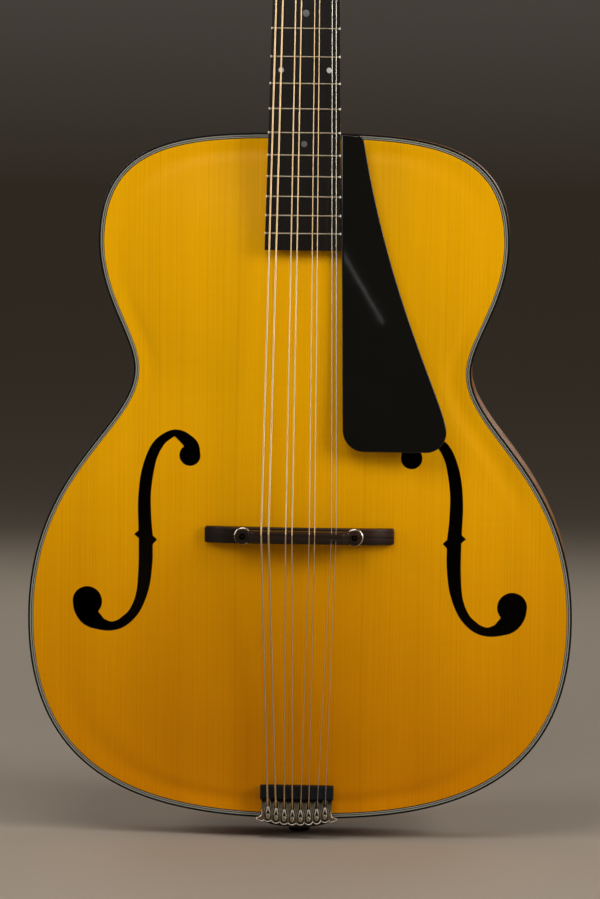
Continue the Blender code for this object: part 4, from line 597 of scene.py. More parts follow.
def buildRim():
    width, tall, depth = body["bindingWidth"], body["bindingHeight"], -body["front"]
    curve = 0.55 * mm
    for name, facing, node in (("bindingTop", -1, "binding_top"), ("bindingBack", 1, "binding_back")):
        turns = np.linspace(0, math.pi / 2, 5)
        corner = [(curve - curve * math.cos(a), facing * (depth - curve + curve * math.sin(a))) for a in turns]
        profile = corner + [(width, facing * depth), (width, facing * (depth - tall)), (0, facing * (depth - tall))]
        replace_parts(edgeBand(name, profile, finish["binding"], slot="black_binding"), node)
    stripes = np.array([0, 0.75, 1.2, 1.9, 2.45]) * mm + width
    front = body["front"]
    profile = [(inset, front) for inset in stripes] + [(stripes[-1], front + 1.6 * mm), (stripes[0], front + 1.6 * mm)]
    lines = edgeBand("purflingTop", profile, None, slot="white_purfling",
                     materials=[finish["whiteLine"], finish["binding"]],
                     groups=np.tile([0, 1, 0, 1, 1, 1, 1], len(wholeLoop(0))))
    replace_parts(lines, "purfling_top")
    backLine = [(width, depth), (width + 0.7 * mm, depth), (width + 0.7 * mm, depth - 1.5 * mm), (width, depth - 1.5 * mm)]
    edgeBand("purflingBack", backLine, finish["whiteLine"], slot="white_purfling")
    for word, side in (("bass", -1), ("treble", 1)):
        place = np.linspace(0.0016, 3.93, 4 * body["steps"])
        face = depth - tall
        profile = [(0.0, -face)] + [(0.0, -face + 2 * face * k / 6) for k in range(1, 6)] + [(0.0, face)]
        profile += [(2.6 * mm, face), (2.6 * mm, -face)]
        points = np.stack([outlineAt(place, inset) for inset, _ in profile], axis=1)
        depthAt = np.array([y for _, y in profile])
        rings = np.stack((side * points[..., 0], np.broadcast_to(depthAt, points.shape[:2]), points[..., 1]), axis=-1)
        length = np.concatenate(([0], np.cumsum(np.linalg.norm(np.diff(points[:, 0], axis=0), axis=1))))
        uv = np.stack((np.broadcast_to(length[:, None], points.shape[:2]),
                       np.broadcast_to(depthAt, points.shape[:2])), axis=-1).reshape(-1, 2)
        rib = sweep("rib" + word.title(), rings, finish["ribMaple"], slot="maple_body", uv=uv)
        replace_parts(rib, "rib_" + word)


topPiece = buildTop()
back = buildPlate("backPlate", plateLook["backArch"], 1, 1.7 * mm, finish["maple"], slot="maple_body")
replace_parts(back, "back_plate")
buildRim()
print("body built")


# Neck, board and strings
neck = {"scale": 584.2 * mm, "frets": 19, "joint": 14, "nutWidth": 34.925 * mm, "octaveWidth": 45.6 * mm,
        "thick": 6 * mm, "radius": 304.8 * mm, "overRim": 15 * mm, "slope": 0.0657, "fretHeight": 1 * mm,
        "fretWidth": 1.3 * mm, "seam": 0.3 * mm}
neck["nut"] = body["bridge"] + neck["scale"]


def fretZ(number):
    return body["bridge"] + neck["scale"] * 2 ** (-number / 12)


def boardY(z):
    return body["front"] - neck["overRim"] + neck["slope"] * (z - fretZ(neck["joint"]))


def boardHalf(z):
    widening = (neck["octaveWidth"] - neck["nutWidth"]) / (neck["nut"] - fretZ(12))
    return (neck["nutWidth"] + widening * (neck["nut"] - z)) / 2


def camber(x):
    return x * x / (2 * neck["radius"])


def buildBoard():
    # Cross-section: a cambered face with eased edges over a flat glued face, carried from the last fret to the nut.
    z = np.linspace(fretZ(neck["frets"] + 1), neck["nut"], 60)
    share = np.linspace(1, -1, 25)
    ease = 0.35 * mm
    half = boardHalf(z)[:, None]
    x = share[None] * (half - ease)
    face = np.stack((x, boardY(z)[:, None] + camber(x), np.broadcast_to(z[:, None], x.shape)), axis=-1)
    corners = []
    for sign, order in ((-1, (0, 1)), (1, (1, 0))):
        top = boardY(z) + camber(half[:, 0]) + ease
        low = boardY(z) + neck["thick"]
        pair = (np.column_stack((sign * half[:, 0], top, z)), np.column_stack((sign * half[:, 0], low, z)))
        corners.append([pair[k] for k in order])
    rings = np.concatenate((face, np.stack(corners[0] + corners[1], axis=1)), axis=1)
    board = sweep("fingerboardWood", rings, finish["ebony"], slot="ebony")
    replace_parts(board, "fingerboard")


def buildFrets():
    # Each fret: a half-oval crown carried over the camber, its ends bevelled.
    turns = np.linspace(0, math.pi, 9)
    share = np.concatenate(([-1, -0.985, -0.96], np.linspace(-0.9, 0.9, 15), [0.96, 0.985, 1]))
    lift = np.clip((1 - abs(share)) / 0.035, 0.25, 1)
    points, faces = [], []
    for number in range(1, neck["frets"] + 1):
        z0 = fretZ(number)
        half = boardHalf(z0) + 0.05 * mm
        x = share * half
        crown = np.stack((np.broadcast_to(x[:, None], (len(x), len(turns))),
                          boardY(z0) + camber(x)[:, None] - neck["fretHeight"] * lift[:, None] * np.sin(turns)[None],
                          z0 + neck["fretWidth"] / 2 * np.broadcast_to(np.cos(turns), (len(x), len(turns)))), axis=-1)
        low = crown[:, ::8].copy()
        low[..., 1] = boardY(z0) + camber(x)[:, None] + 0.4 * mm
        ring = np.concatenate((crown, low[:, ::-1]), axis=1)
        columns = ring.shape[1]
        start = len(points) * ring.shape[0] * columns
        faces += gridFaces(len(ring), columns, False, True, start)
        faces += [list(range(start, start + columns)),
                  list(range(start + (len(ring) - 1) * columns, start + len(ring) * columns))]
        points.append(ring)
    meshFrom("frets", np.array(points), faces, finish["fretWire"], slot="nickel", smooth=50)


def buildFretEnds():
    # fret ends at the board's edges: half balls flattened against its sides, in a pale non-metal finish that paints the
    # highlight of their polished ends
    turns = np.linspace(0, 2 * math.pi, 12, endpoint=False)
    points, faces = [], []
    for number in range(1, neck["frets"] + 1):
        z0 = fretZ(number)
        for side in (-1, 1):
            edge = side * (boardHalf(z0) - 0.25 * mm)
            y0 = boardY(z0) + camber(edge) - 0.15 * mm
            rows = []
            for radius, out in ((1, -0.2), (1, 0.1), (0.85, 0.36), (0.5, 0.56), (0.02, 0.65)):
                rows.append(np.column_stack((np.full(12, edge + side * out * mm), y0 + 0.85 * mm * radius * np.cos(turns),
                                             z0 + 0.9 * mm * radius * np.sin(turns))))
            start = len(points) * 5 * 12
            faces += gridFaces(5, 12, False, True, start)
            faces += [list(range(start, start + 12)), list(range(start + 4 * 12, start + 5 * 12))]
            points.append(rows)
    meshFrom("fretEnds", np.array(points), faces, finish["fretEndGlint"], slot="nickel", smooth=60, merge=1e-8)


def buildDots():
    # Domed discs: rings of a circle laid on the camber.
    places = [(0, 3, 2.4), (0, 5, 2.4), (0, 7, 2.4), (0, 10, 2.3), (0, 15, 2.0), (-15.6, 12, 1.75), (15.6, 12, 1.75)]
    turns = np.linspace(0, 2 * math.pi, 24, endpoint=False)
    points, faces, groups = [], [], []
    for x0, number, radius in places:
        z0 = (fretZ(number) + fretZ(number - 1)) / 2
        rows = []
        for share, rise in ((1, -0.3), (1, 0.02), (0.6, 0.05), (0.001, 0.06)):
            x = x0 * mm + radius * mm * share * np.cos(turns)
            z = z0 + radius * mm * share * np.sin(turns)
            rows.append(np.column_stack((x, boardY(z) + camber(x) - rise * mm, z)))
        start = len(points) * 4 * len(turns)
        faces += gridFaces(4, len(turns), False, True, start)
        faces += [list(range(start, start + len(turns))), list(range(start + 3 * len(turns), start + 4 * len(turns)))]
        points.append(rows)
        groups += [number == 12] * (3 * len(turns) + 2)
    meshFrom("positionDots", np.array(points), faces, None, slot="bone", merge=1e-7, groups=groups,
             materials=[finish["dullPearl"], finish["pearl"]])


buildBoard()
buildFrets()
buildFretEnds()
buildDots()
print("board built")

strung = {"names": ("g1", "g2", "d1", "d2", "a1", "a2", "e1", "e2"),
          "size": np.array([1.17, 1.17, 0.86, 0.86, 0.61, 0.61, 0.36, 0.36]) * mm,
          "nutX": np.array([-16.2, -12.2, -5.8, -2.3, 4.6, 7.4, 13.7, 16]) * mm,
          "bridgeX": np.array([-23.9, -19.1, -8, -3.9, 7.3, 10.8, 21.7, 24.7]) * mm,
          "action": 2.1 * mm, "overNut": 1.1 * mm, "nutThick": 5 * mm, "postX": 17.5 * mm, "firstPost": 30 * mm,
          "postPitch": 23.1 * mm, "postRadius": 3 * mm, "tilt": math.radians(14), "overlay": 2.3 * mm}
tailpiece = {"pitch": 5.33 * mm, "rise": 3.1 * mm, "bow": 2 * mm, "half": 2.25 * mm, "length": 3.5 * mm,
             "reach": 9 * mm, "mouth": 0.8 * mm, "depth": 3.6 * mm, "stand": 2.7 * mm, "lip": 6.8 * mm,
             "plate": 1.8 * mm, "wide": 23.2 * mm, "ear": 3.6 * mm, "earHeight": 1 * mm, "overhang": 4.5 * mm,
             "rimRadius": 3.4 * mm, "rimDrop": 0.8 * mm, "rimDepth": 2.2 * mm, "legHalf": 16 * mm,
             "legThick": 1.8 * mm, "legReach": 26 * mm, "damperFoot": 13.6 * mm, "damperHeight": 9.2 * mm,
             "damperHalf": 24 * mm}
bridge = {"crest": 1.7 * mm, "posts": 36.45 * mm, "baseHalf": 61.8 * mm, "baseWidth": 10.7 * mm, "flatHalf": 44 * mm,
          "endHeight": 4.5 * mm, "reliefHalf": 22 * mm, "relief": 2.5 * mm, "saddleWidth": 7.7 * mm,
          "earRadius": 5 * mm, "earHeight": 6 * mm, "cover": 3 * mm, "wheel": 5.8 * mm, "wheelThick": 2.2 * mm,
          "drop": 1.5 * mm, "post": 1.75 * mm, "over": 0.5 * mm}
bridge["z"] = body["bridge"] - bridge["crest"]

nutY = boardY(neck["nut"]) - strung["overNut"]
crestY = 2 * (boardY(fretZ(12)) - neck["fretHeight"] - strung["action"]) - nutY
tailY = body["front"] - tailpiece["stand"] - tailpiece["lip"] - 0.4 * mm
damperZ = body["tail"] + tailpiece["damperFoot"]
saddleY = crestY + strung["size"][0] + bridge["earHeight"] + bridge["cover"]
baseY = saddleY + bridge["wheelThick"] + bridge["drop"] + 0.6 * mm

# the headstock's frame: x across, u up from the nut, f forwards
headAngle = math.atan(neck["slope"]) + strung["tilt"]
headFoot = neck["nut"] + strung["nutThick"] + 0.6 * mm
headFrame = Matrix.Translation((0, boardY(headFoot) + neck["thick"] + 0.6 * mm, headFoot)) @ Matrix((
    (1, 0, 0, 0), (0, math.sin(headAngle), -math.cos(headAngle), 0),
    (0, math.cos(headAngle), math.sin(headAngle), 0), (0, 0, 0, 1)))
headTurn = np.array(headFrame.to_3x3())
headPlace = np.array(headFrame.translation)


def onHead(points):
    # Points (x, u, f) of the headstock's frame in the row's frame.
    return np.asarray(points, dtype=float) @ headTurn.T + headPlace


topFaces = BVHTree.FromPolygons([v.co[:] for v in topPiece.data.vertices],
                                [p.vertices[:] for p in topPiece.data.polygons])


def topFace(x, z):
    # The y of the carved top's outer face at one place.
    return topFaces.ray_cast(Vector((x, -0.2, z)), Vector((0, 1, 0)))[0].y


def tube(line, radius, sides=10, across=(0.0, -1.0, 0.0)):
    # Rings round a line: point + r (cos a side + sin a up), with side square to the line's run and to across.
    line = np.asarray(line, dtype=float)
    run = np.gradient(line, axis=0)
    run /= np.linalg.norm(run, axis=1)[:, None]
    side = np.cross(run, across)
    side /= np.linalg.norm(side, axis=1)[:, None]
    up = np.cross(side, run)
    turns = np.linspace(0, 2 * math.pi, sides, endpoint=False)[None, :, None]
    radius = np.broadcast_to(radius, len(line))[:, None, None]
    return line[:, None] + radius * (np.cos(turns) * side[:, None] + np.sin(turns) * up[:, None])


def cupPlace(number):
    x = tailpiece["pitch"] * (number - 3.5)
    return x, body["tail"] + tailpiece["rise"] - tailpiece["bow"] * (1 - (x / (3.5 * tailpiece["pitch"])) ** 2)


def stringX(number, z):
    s = strung
    crest = s["bridgeX"][number]
    cupX, cupZ = cupPlace(number)
    return np.where(z > body["bridge"],
                    crest + (s["nutX"][number] - crest) * (z - body["bridge"]) / neck["scale"],
                    cupX + (crest - cupX) * (z - cupZ) / (body["bridge"] - cupZ))


def postOf(number):
    # Side, place across and height of the post of one string: outer strings run to the posts nearest the nut.
    side = -1 if number < 4 else 1
    step = (0, 1, 2, 3, 3, 2, 1, 0)[number]
    return side, side * strung["postX"], strung["firstPost"] + strung["postPitch"] * step


def lowString(number):
    # Twisted loop end in its cup, over the damper, straight up to the saddle's crest.
    radius = strung["size"][number] / 2
    cupX, cupZ = cupPlace(number)
    floor = body["front"] - tailpiece["stand"] - tailpiece["lip"]
    share = np.linspace(0, 1, 9)
    z = cupZ + 5.6 * mm + (damperZ - cupZ - 5.6 * mm) * share
    y = floor + 1.0 * mm + (tailY - radius - floor - 1.0 * mm) * (1 - (1 - share) ** 2)
    ramp = np.column_stack((stringX(number, z), y, z))
    z = np.linspace(damperZ, body["bridge"], 44)[1:]
    share = (body["bridge"] - z) / (body["bridge"] - damperZ)
    x = stringX(number, z)
    line = np.column_stack((x, crestY + (tailY - crestY) * share + camber(x) * (1 - share) - radius, z))
    return np.concatenate((ramp, line))


def highString(number):
    # From the saddle's crest to the nut, over it, then up to its post and round it, coil beneath coil.
    radius = strung["size"][number] / 2
    nutX = strung["nutX"][number]
    z = np.linspace(body["bridge"], neck["nut"], 50)
    x = stringX(number, np.maximum(z, body["bridge"] + 1e-9))
    share = (z - body["bridge"]) / neck["scale"]
    line = np.column_stack((x, crestY + (nutY - crestY) * share + camber(x) - radius, z))
    over = np.array([(nutX, line[-1, 1] + drop * mm, neck["nut"] + along * mm)
                     for along, drop in ((2.0, 0.02), (4.0, 0.15), (5.4, 0.4))])
    side, postX, postU = postOf(number)
    orbit = strung["postRadius"] + radius
    rise = 2 * radius + 0.04 * mm
    top = strung["overlay"] + 0.3 * mm + 2.25 * (2 * radius + 0.2 * mm)
    turns = min((top - strung["overlay"] - radius - 0.2 * mm) / rise, 3.2)
    angle = np.linspace(0, 2 * math.pi * turns, int(20 * turns))
    begin = 0.0 if side < 0 else math.pi
    coil = np.column_stack((postX + orbit * np.cos(begin - side * angle), postU + orbit * np.sin(begin - side * angle),
                            top - rise * angle / (2 * math.pi)))
    last = np.array([(postX, postU, coil[-1, 2])])
    reach = onHead(coil[0])
    free = over[-1] + (reach - over[-1]) * np.linspace(0, 1, 10)[1:-1, None]
    return np.concatenate((line, over, free, onHead(coil), onHead(last)))


def buildStrings():
    for number, name in enumerate(strung["names"]):
        material = finish["plain" if name[0] == "e" else "bronze"]
        which = "plain_string" if name[0] == "e" else "bronze_string"
        radius = strung["size"][number] / 2
        low = lowString(number)
        taper = np.where(np.arange(len(low)) < 1, 0.7, 1.0) * radius
        piece = sweep("stringTail" + name.upper(), tube(low, taper, 10), material, body=None, slot=which, merge=1e-7)
        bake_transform(piece)
        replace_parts(piece, "string_" + name)
        piece = sweep("stringNeck" + name.upper(), tube(highString(number), radius, 10, headTurn @ (0, 0, 1)),
                      material, body=None, slot=which, merge=1e-7)
        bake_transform(piece)
        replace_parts(piece, "string_" + name)


# Bridge
def rounded(half, radius, steps=5):
    # Quarter round in from an edge: pairs (inset along the width, drop from the face).
    turns = np.linspace(0, math.pi / 2, steps)
    return [(half - radius + radius * math.cos(a), radius - radius * math.sin(a)) for a in turns]


def endInset(place, half, radius):
    # How far a bar's section draws in near its ends, so that the ends are rounded.
    left = np.clip(half - abs(place), 0, radius)
    return radius - np.sqrt(np.maximum(radius ** 2 - (radius - left) ** 2, 0))


def buildBase():
    # A bar across the top: foot on the arch, flat where the wheels stand, ends swept down, edges and ends rounded.
    b = bridge
    half, wide = b["baseHalf"], b["baseWidth"] / 2
    share = np.linspace(-1, 1, 61)
    x = half * np.concatenate(([-1, -0.9985, -0.994, -0.985], 0.97 * share, [0.985, 0.994, 0.9985, 1]))
    past = np.clip((abs(x) - b["flatHalf"]) / (half - b["flatHalf"]), 0, 1)
    corner = rounded(wide, 0.9 * mm)
    rings = []
    for place, over, inward in zip(x, past, endInset(x, half, 1.3 * mm)):
        end = topFace(math.copysign(half, place), b["z"]) - b["endHeight"]
        top = baseY + (end - baseY) * (1 - math.cos(math.pi * over)) / 2 + 0.5 * inward
        relief = b["relief"] * max(1 - (place / b["reliefHalf"]) ** 2, 0)
        squeeze = (wide - inward) / wide
        foot = [(place, topFace(place, b["z"] + z * squeeze) - 0.05 * mm - relief, b["z"] + z * squeeze)
                for z in np.linspace(-wide, wide, 5)]
        high = [(place, top + drop, b["z"] + z * squeeze) for z, drop in corner]
        low = [(place, top + drop, b["z"] - z * squeeze) for z, drop in corner[::-1]]
        rings.append(foot + high + low)
    base = sweep("bridgeFoot", rings, finish["bridgeEbony"], slot="ebony", smooth=30)
    for side in (-1, 1):
        tool = turnedPiece("postHole", [(2.1 * mm, -10 * mm), (2.1 * mm, 10 * mm)], (side * b["posts"], baseY, b["z"]),
                           finish["bridgeEbony"], body=None, sides=24)
        cutWith(base, tool)
    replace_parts(base, "bridge_base")


def turnedPiece(name, profile, place, material, sides=32, **more):
    # A profile of (radius, height towards the front) turned about an axis along y through place.
    turns = np.linspace(0, 2 * math.pi, sides, endpoint=False)
    rings = [np.column_stack((place[0] + radius * np.cos(turns), np.full(sides, place[1] - height),
                              place[2] + radius * np.sin(turns))) for radius, height in profile]
    return sweep(name, rings, material, **more)


def buildSaddle():
    # A bar whose section has a crest under the strings, falls to both sides and sweeps down into two round ears.
    b = bridge
    z0, wide = b["z"], b["saddleWidth"] / 2
    half = b["posts"] - 1.2 * mm
    x = np.linspace(-half, half, 121)
    # across the bar: the tail edge, the crest, the edge of the neck-side bevel, the neck edge
    run = np.array([-wide, -wide + 0.25 * mm, -wide + 0.7 * mm, -1.2 * mm, 0.6 * mm, b["crest"] - 0.35 * mm,
                    b["crest"] + 0.35 * mm, wide - 1.3 * mm, wide - 0.5 * mm, wide])
    fall = np.where(run < b["crest"], 0.155 * (b["crest"] - run), 0.0725 * (run - b["crest"]))
    fall = fall + np.array([0.9, 0.35, 0.05, 0, 0, 0.02, 0.02, 0.05, 0.65, 1.5]) * mm
    sweepDown = np.clip((abs(x) - (half - 6.5 * mm)) / (5.0 * mm), 0, 1)
    ear = saddleY - b["earHeight"]
    rings = []
    for place, down in zip(x, (1 - np.cos(np.pi * sweepDown)) / 2):
        crown = crestY - b["over"] + camber(place) + fall
        level = crown + (ear + 0.3 * mm + 0.4 * fall - crown) * down
        rings.append([(place, y, z0 + z) for z, y in zip(run, level)] + [(place, saddleY, z0 + wide),
                                                                        (place, saddleY, z0 - wide)])
    saddle = sweep("bridgeSaddle", rings, finish["bridgeEbony"], body="saddle", slot="ebony", smooth=28)
    for side in (-1, 1):
        edge = [(b["earRadius"] - 0.6 * mm + 0.6 * mm * math.cos(a), b["earHeight"] - 0.6 * mm + 0.6 * mm * math.sin(a))
                for a in np.linspace(0, math.pi / 2, 5)]
        tool = turnedPiece("ear", [(b["earRadius"], 0.0)] + edge, (side * b["posts"], saddleY, z0),
                           finish["bridgeEbony"], body=None, sides=40)
        cutWith(saddle, tool, "UNION")
    for side in (-1, 1):
        tool = turnedPiece("postHole", [(2.1 * mm, -1 * mm), (2.1 * mm, 12 * mm)], (side * b["posts"], saddleY, z0),
                           finish["bridgeEbony"], body=None, sides=24)
        cutWith(saddle, tool)
    for number, x in enumerate(strung["bridgeX"]):
        radius = strung["size"][number] / 2
        z = np.array([-5, -3, 0, b["crest"] / mm, 3, 5]) * mm
        drop = np.where(z < b["crest"], 0.12 * (b["crest"] - z), 0.0725 * (z - b["crest"]))
        line = np.column_stack((stringX(number, z0 + z), crestY - radius + camber(x) + drop, z0 + z))
        tool = sweep("notch", tube(line, radius + 0.06 * mm, 12), finish["bridgeEbony"], body=None)
        cutWith(saddle, tool)
    saddle.data.shade_smooth()
    saddle.data.set_sharp_from_angle(angle=math.radians(28))
    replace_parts(saddle, "bridge_saddle")


def buildPosts():
    # Threaded posts: radius = mean + depth cos(height turns - angle), and wheels with a knurled edge.
    b = bridge
    turns = np.linspace(0, 2 * math.pi, 20, endpoint=False)
    for word, side in (("bass", -1), ("treble", 1)):
        low, high = baseY + 6.5 * mm, saddleY - b["earHeight"] + 3.8 * mm
        y = np.linspace(low, high, 110)
        thread = np.cos(2 * math.pi * (low - y)[:, None] / (0.79 * mm) - turns[None])
        radius = (b["post"] - 0.2 * mm) + 0.16 * mm * thread
        radius[-4:] *= np.array([0.98, 0.9, 0.8, 0.7])[:, None]
        rings = np.stack((side * b["posts"] + radius * np.cos(turns), np.broadcast_to(y[:, None], radius.shape),
                          b["z"] + radius * np.sin(turns)), axis=-1)
        post = sweep("bridgePost" + word.title(), rings, finish["brass"], slot="brass", smooth=50)
        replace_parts(post, "bridge_post_" + word)
        buildWheel(word, side)


def buildWheel(word, side):
    # A knurled disc: radius = mean + depth cos(teeth angle), with bevelled rims and a bore for the post.
    b = bridge
    teeth, sides = 44, 176
    turns = np.linspace(0, 2 * math.pi, sides, endpoint=False)
    tooth = 0.5 + 0.5 * np.cos(teeth * turns)
    seat = saddleY + 0.3 * mm
    rows = []
    for y, radius, depth in ((0, 2.2, 0), (0, 4.6, 0), (0.05, 5.0, 0), (0.3, 5.45, 0.3), (0.55, 5.55, 1), (1.65, 5.55, 1),
                             (1.9, 5.45, 0.3), (2.15, 5.0, 0), (2.2, 4.6, 0), (2.2, 2.2, 0)):
        r = (radius + 0.24 * depth * tooth) * mm
        rows.append(np.column_stack((side * b["posts"] + r * np.cos(turns), np.full(sides, seat + y * mm),
                                     b["z"] + r * np.sin(turns))))
    wheel = sweep("thumbwheel" + word.title(), rows, finish["nickel"], closedPath=True, body="wheel_" + word,
                  slot="nickel", smooth=30)
    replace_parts(wheel, "thumbwheel_" + word)


# Tailpiece and damper
def outlineTool(name, outline, low, high, material):
    # A closed outline of (x, z) between two depths.
    outline = np.asarray(outline)
    rings = [np.column_stack((outline[:, 0], np.full(len(outline), y), outline[:, 1])) for y in (low, high)]
    return sweep(name, rings, material, body=None)


def teardrop(x, z, grow=0.0):
    t = tailpiece
    foot = [(x + (t["half"] + grow) * math.cos(a), z + (t["length"] + grow) * math.sin(a))
            for a in np.radians(np.linspace(180, 360, 15))]
    brow = [(x + (0.97 * t["half"] + grow), z + 0.18 * t["reach"]), (x + 0.78 * t["half"] + grow, z + 0.42 * t["reach"]),
            (x + 0.5 * t["half"] + grow, z + 0.68 * t["reach"]), (x + t["mouth"] + grow, z + 1.15 * t["reach"])]
    return foot + brow + [(2 * x - a, b) for a, b in brow[::-1]]


def scallopLine():
    # the rim's lower edge: one arc under each cup
    t = tailpiece
    across = np.linspace(-0.5, 0.5, 9)[:-1] * t["pitch"]
    line = []
    for number in range(8):
        x, z = cupPlace(number)
        line.append(np.column_stack((x + across, z - t["rimDrop"] - np.sqrt(t["rimRadius"] ** 2 - across ** 2))))
    line = np.concatenate(line)
    return np.concatenate((line, line[:1] * (-1, 1)))


def buildTailpiece():
    # One casting: a lip with a cup and a hook post for each string, a plate under the damper and a leg over the rim.
    t = tailpiece
    base = body["front"] - t["stand"]
    plate, front = base - t["plate"], base - t["lip"]
    floor = front + t["depth"]
    low, brow = body["tail"] - t["overhang"], damperZ - 0.3 * mm
    wide, ear = t["wide"], body["tail"] + t["earHeight"]
    half = curveThrough([(wide, brow), (wide - 0.15 * t["ear"], ear + 1.3 * t["ear"]),
                         (wide + 0.15 * t["ear"], ear + 0.4 * t["ear"]), (wide + t["ear"], ear + 0.1 * t["ear"])], 5)
    under = curveThrough([(wide + t["ear"], ear - 0.1 * t["ear"]), (wide - 0.2 * t["ear"], ear - 0.5 * t["ear"]),
                          (0.68 * wide, low + 0.3 * t["overhang"]), (0.34 * wide, low + 0.07 * t["overhang"]),
                          (0, low)], 6)
    treble = np.concatenate(([(wide - t["plate"], damperZ + t["damperHeight"])], half, under[:-1]))
    outline = np.concatenate((treble, [(0, low)], treble[::-1] * (-1, 1)))
    casting = outlineTool("tailpieceCasting", outline, 2 * front, 0, finish["castNickel"])
    ramp = [(front + t["depth"] * rise, brow - 2.1 * t["depth"] * along)
            for rise, along in ((1.0, 0.0), (0.72, 0.3), (0.44, 0.6), (0.2, 0.82), (0.05, 0.95), (0.0, 1.05))]
    profile = np.array([(base, 0.5), (plate, 0.5), (plate, brow)] + ramp + [(front, 0.0), (base, 0.0)])
    rings = [np.column_stack((np.full(len(profile), x), profile)) for x in (-2 * wide, 2 * wide)]
    cutWith(casting, sweep("sideView", rings, finish["castNickel"], body=None), "INTERSECT")
    scallops = scallopLine()
    rim = np.concatenate((scallops, [(scallops[-1][0], low - 2 * t["overhang"]),
                                     (scallops[0][0], low - 2 * t["overhang"])]))
    cutWith(casting, outlineTool("rimTool", rim, front - t["rimDepth"], front + t["rimDepth"], finish["castNickel"]))
    legTop = body["tail"] - 0.3 * mm
    legEnd = body["front"] + t["legReach"]
    corner = [(t["legHalf"] - 5 * mm + 5 * mm * math.sin(a), legEnd - 5 * mm + 5 * mm * math.cos(a))
              for a in np.linspace(math.pi / 2, 0, 7)]
    leg = np.array([(t["legHalf"], plate)] + corner + [(-x, y) for x, y in corner[::-1]] + [(-t["legHalf"], plate)])
    rings = [np.column_stack((leg, np.full(len(leg), z))) for z in (legTop - t["legThick"], legTop)]
    cutWith(casting, sweep("leg", rings, finish["castNickel"], body=None), "UNION")
    for number in range(8):
        x, z = cupPlace(number)
        cutWith(casting, outlineTool("cup", teardrop(x, z), 2 * front, floor, finish["castNickel"]))
    casting.data.materials.append(finish["cup"])
    count = len(casting.data.polygons)
    centre, normal = np.empty(count * 3), np.empty(count * 3)
    casting.data.polygons.foreach_get("center", centre)
    casting.data.polygons.foreach_get("normal", normal)
    centre, normal = centre.reshape(-1, 3), normal.reshape(-1, 3)
    inCup = (centre[:, 1] > front + 0.2 * mm) & (centre[:, 1] < floor + 0.05 * mm)
    nearest = np.clip(np.round(centre[:, 0] / t["pitch"] + 3.5), 0, 7)
    cupX = (nearest - 3.5) * t["pitch"]
    cupZ = body["tail"] + t["rise"] - t["bow"] * (1 - (cupX / (3.5 * t["pitch"])) ** 2)
    inCup &= (abs(centre[:, 0] - cupX) < t["half"] + 0.1 * mm) & (centre[:, 2] > cupZ - t["length"] - 0.1 * mm)
    inCup &= centre[:, 2] < cupZ + 1.2 * t["reach"]
    flat = abs(normal[:, 1]) > 0.95
    inCup &= ~(flat & (abs(centre[:, 1] - floor) > 0.1 * mm))
    bow = (normal[:, 1] < -0.5) & (centre[:, 1] > front + 0.5 * mm) & (centre[:, 2] < body["tail"] + 0.5 * mm)
    sloped = (normal[:, 2] > 0.2) & (normal[:, 1] < -0.2) & ~inCup
    casting.data.materials.append(finish["ramp"])
    casting.data.polygons.foreach_set("material_index", np.where(sloped, 2, inCup | bow).astype(np.int32))
    casting.data.shade_smooth()
    casting.data.set_sharp_from_angle(angle=math.radians(30))
    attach(casting, "instrument")
    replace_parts(casting, "tailpiece")
    buildHooks(front, floor)
    # a bright rim along the scallops and up both sides, much brighter than the casting: a painted highlight where its
    # edge catches the light
    scallops = scallopLine() + (0, 0.15 * mm)
    side = [(wide - 0.15 * t["ear"], ear + share * t["ear"]) for share in (1.5, 1.2, 0.9)]
    side += [(wide + 0.1 * t["ear"], ear + 0.4 * t["ear"]), (wide + 0.8 * t["ear"], ear + 0.1 * t["ear"]),
             (wide + 0.75 * t["ear"], ear - 0.15 * t["ear"]), (wide - 0.3 * t["ear"], ear - 0.5 * t["ear"])]
    edge = np.concatenate((curveThrough(side, 3), scallops[::-1], (curveThrough(side, 3) * (-1, 1))[::-1]))
    line = np.column_stack((edge[:, 0], np.full(len(edge), front + 0.12 * mm), edge[:, 1]))
    sweep("tailpieceRim", tube(line, 0.29 * mm, 10), finish["rimHighlightNickel"], slot="nickel", smooth=70)
    for number, name in enumerate(strung["names"]):
        x, z = cupPlace(number)
        brows = np.array(teardrop(x, z, 0.34 * mm))
        line = np.column_stack((brows[14:], np.full(len(brows) - 14, front + 0.1 * mm)))[:, [0, 2, 1]]
        sweep("brow" + name.upper(), tube(line, 0.2 * mm, 6), finish["hook"], slot="nickel", smooth=70)


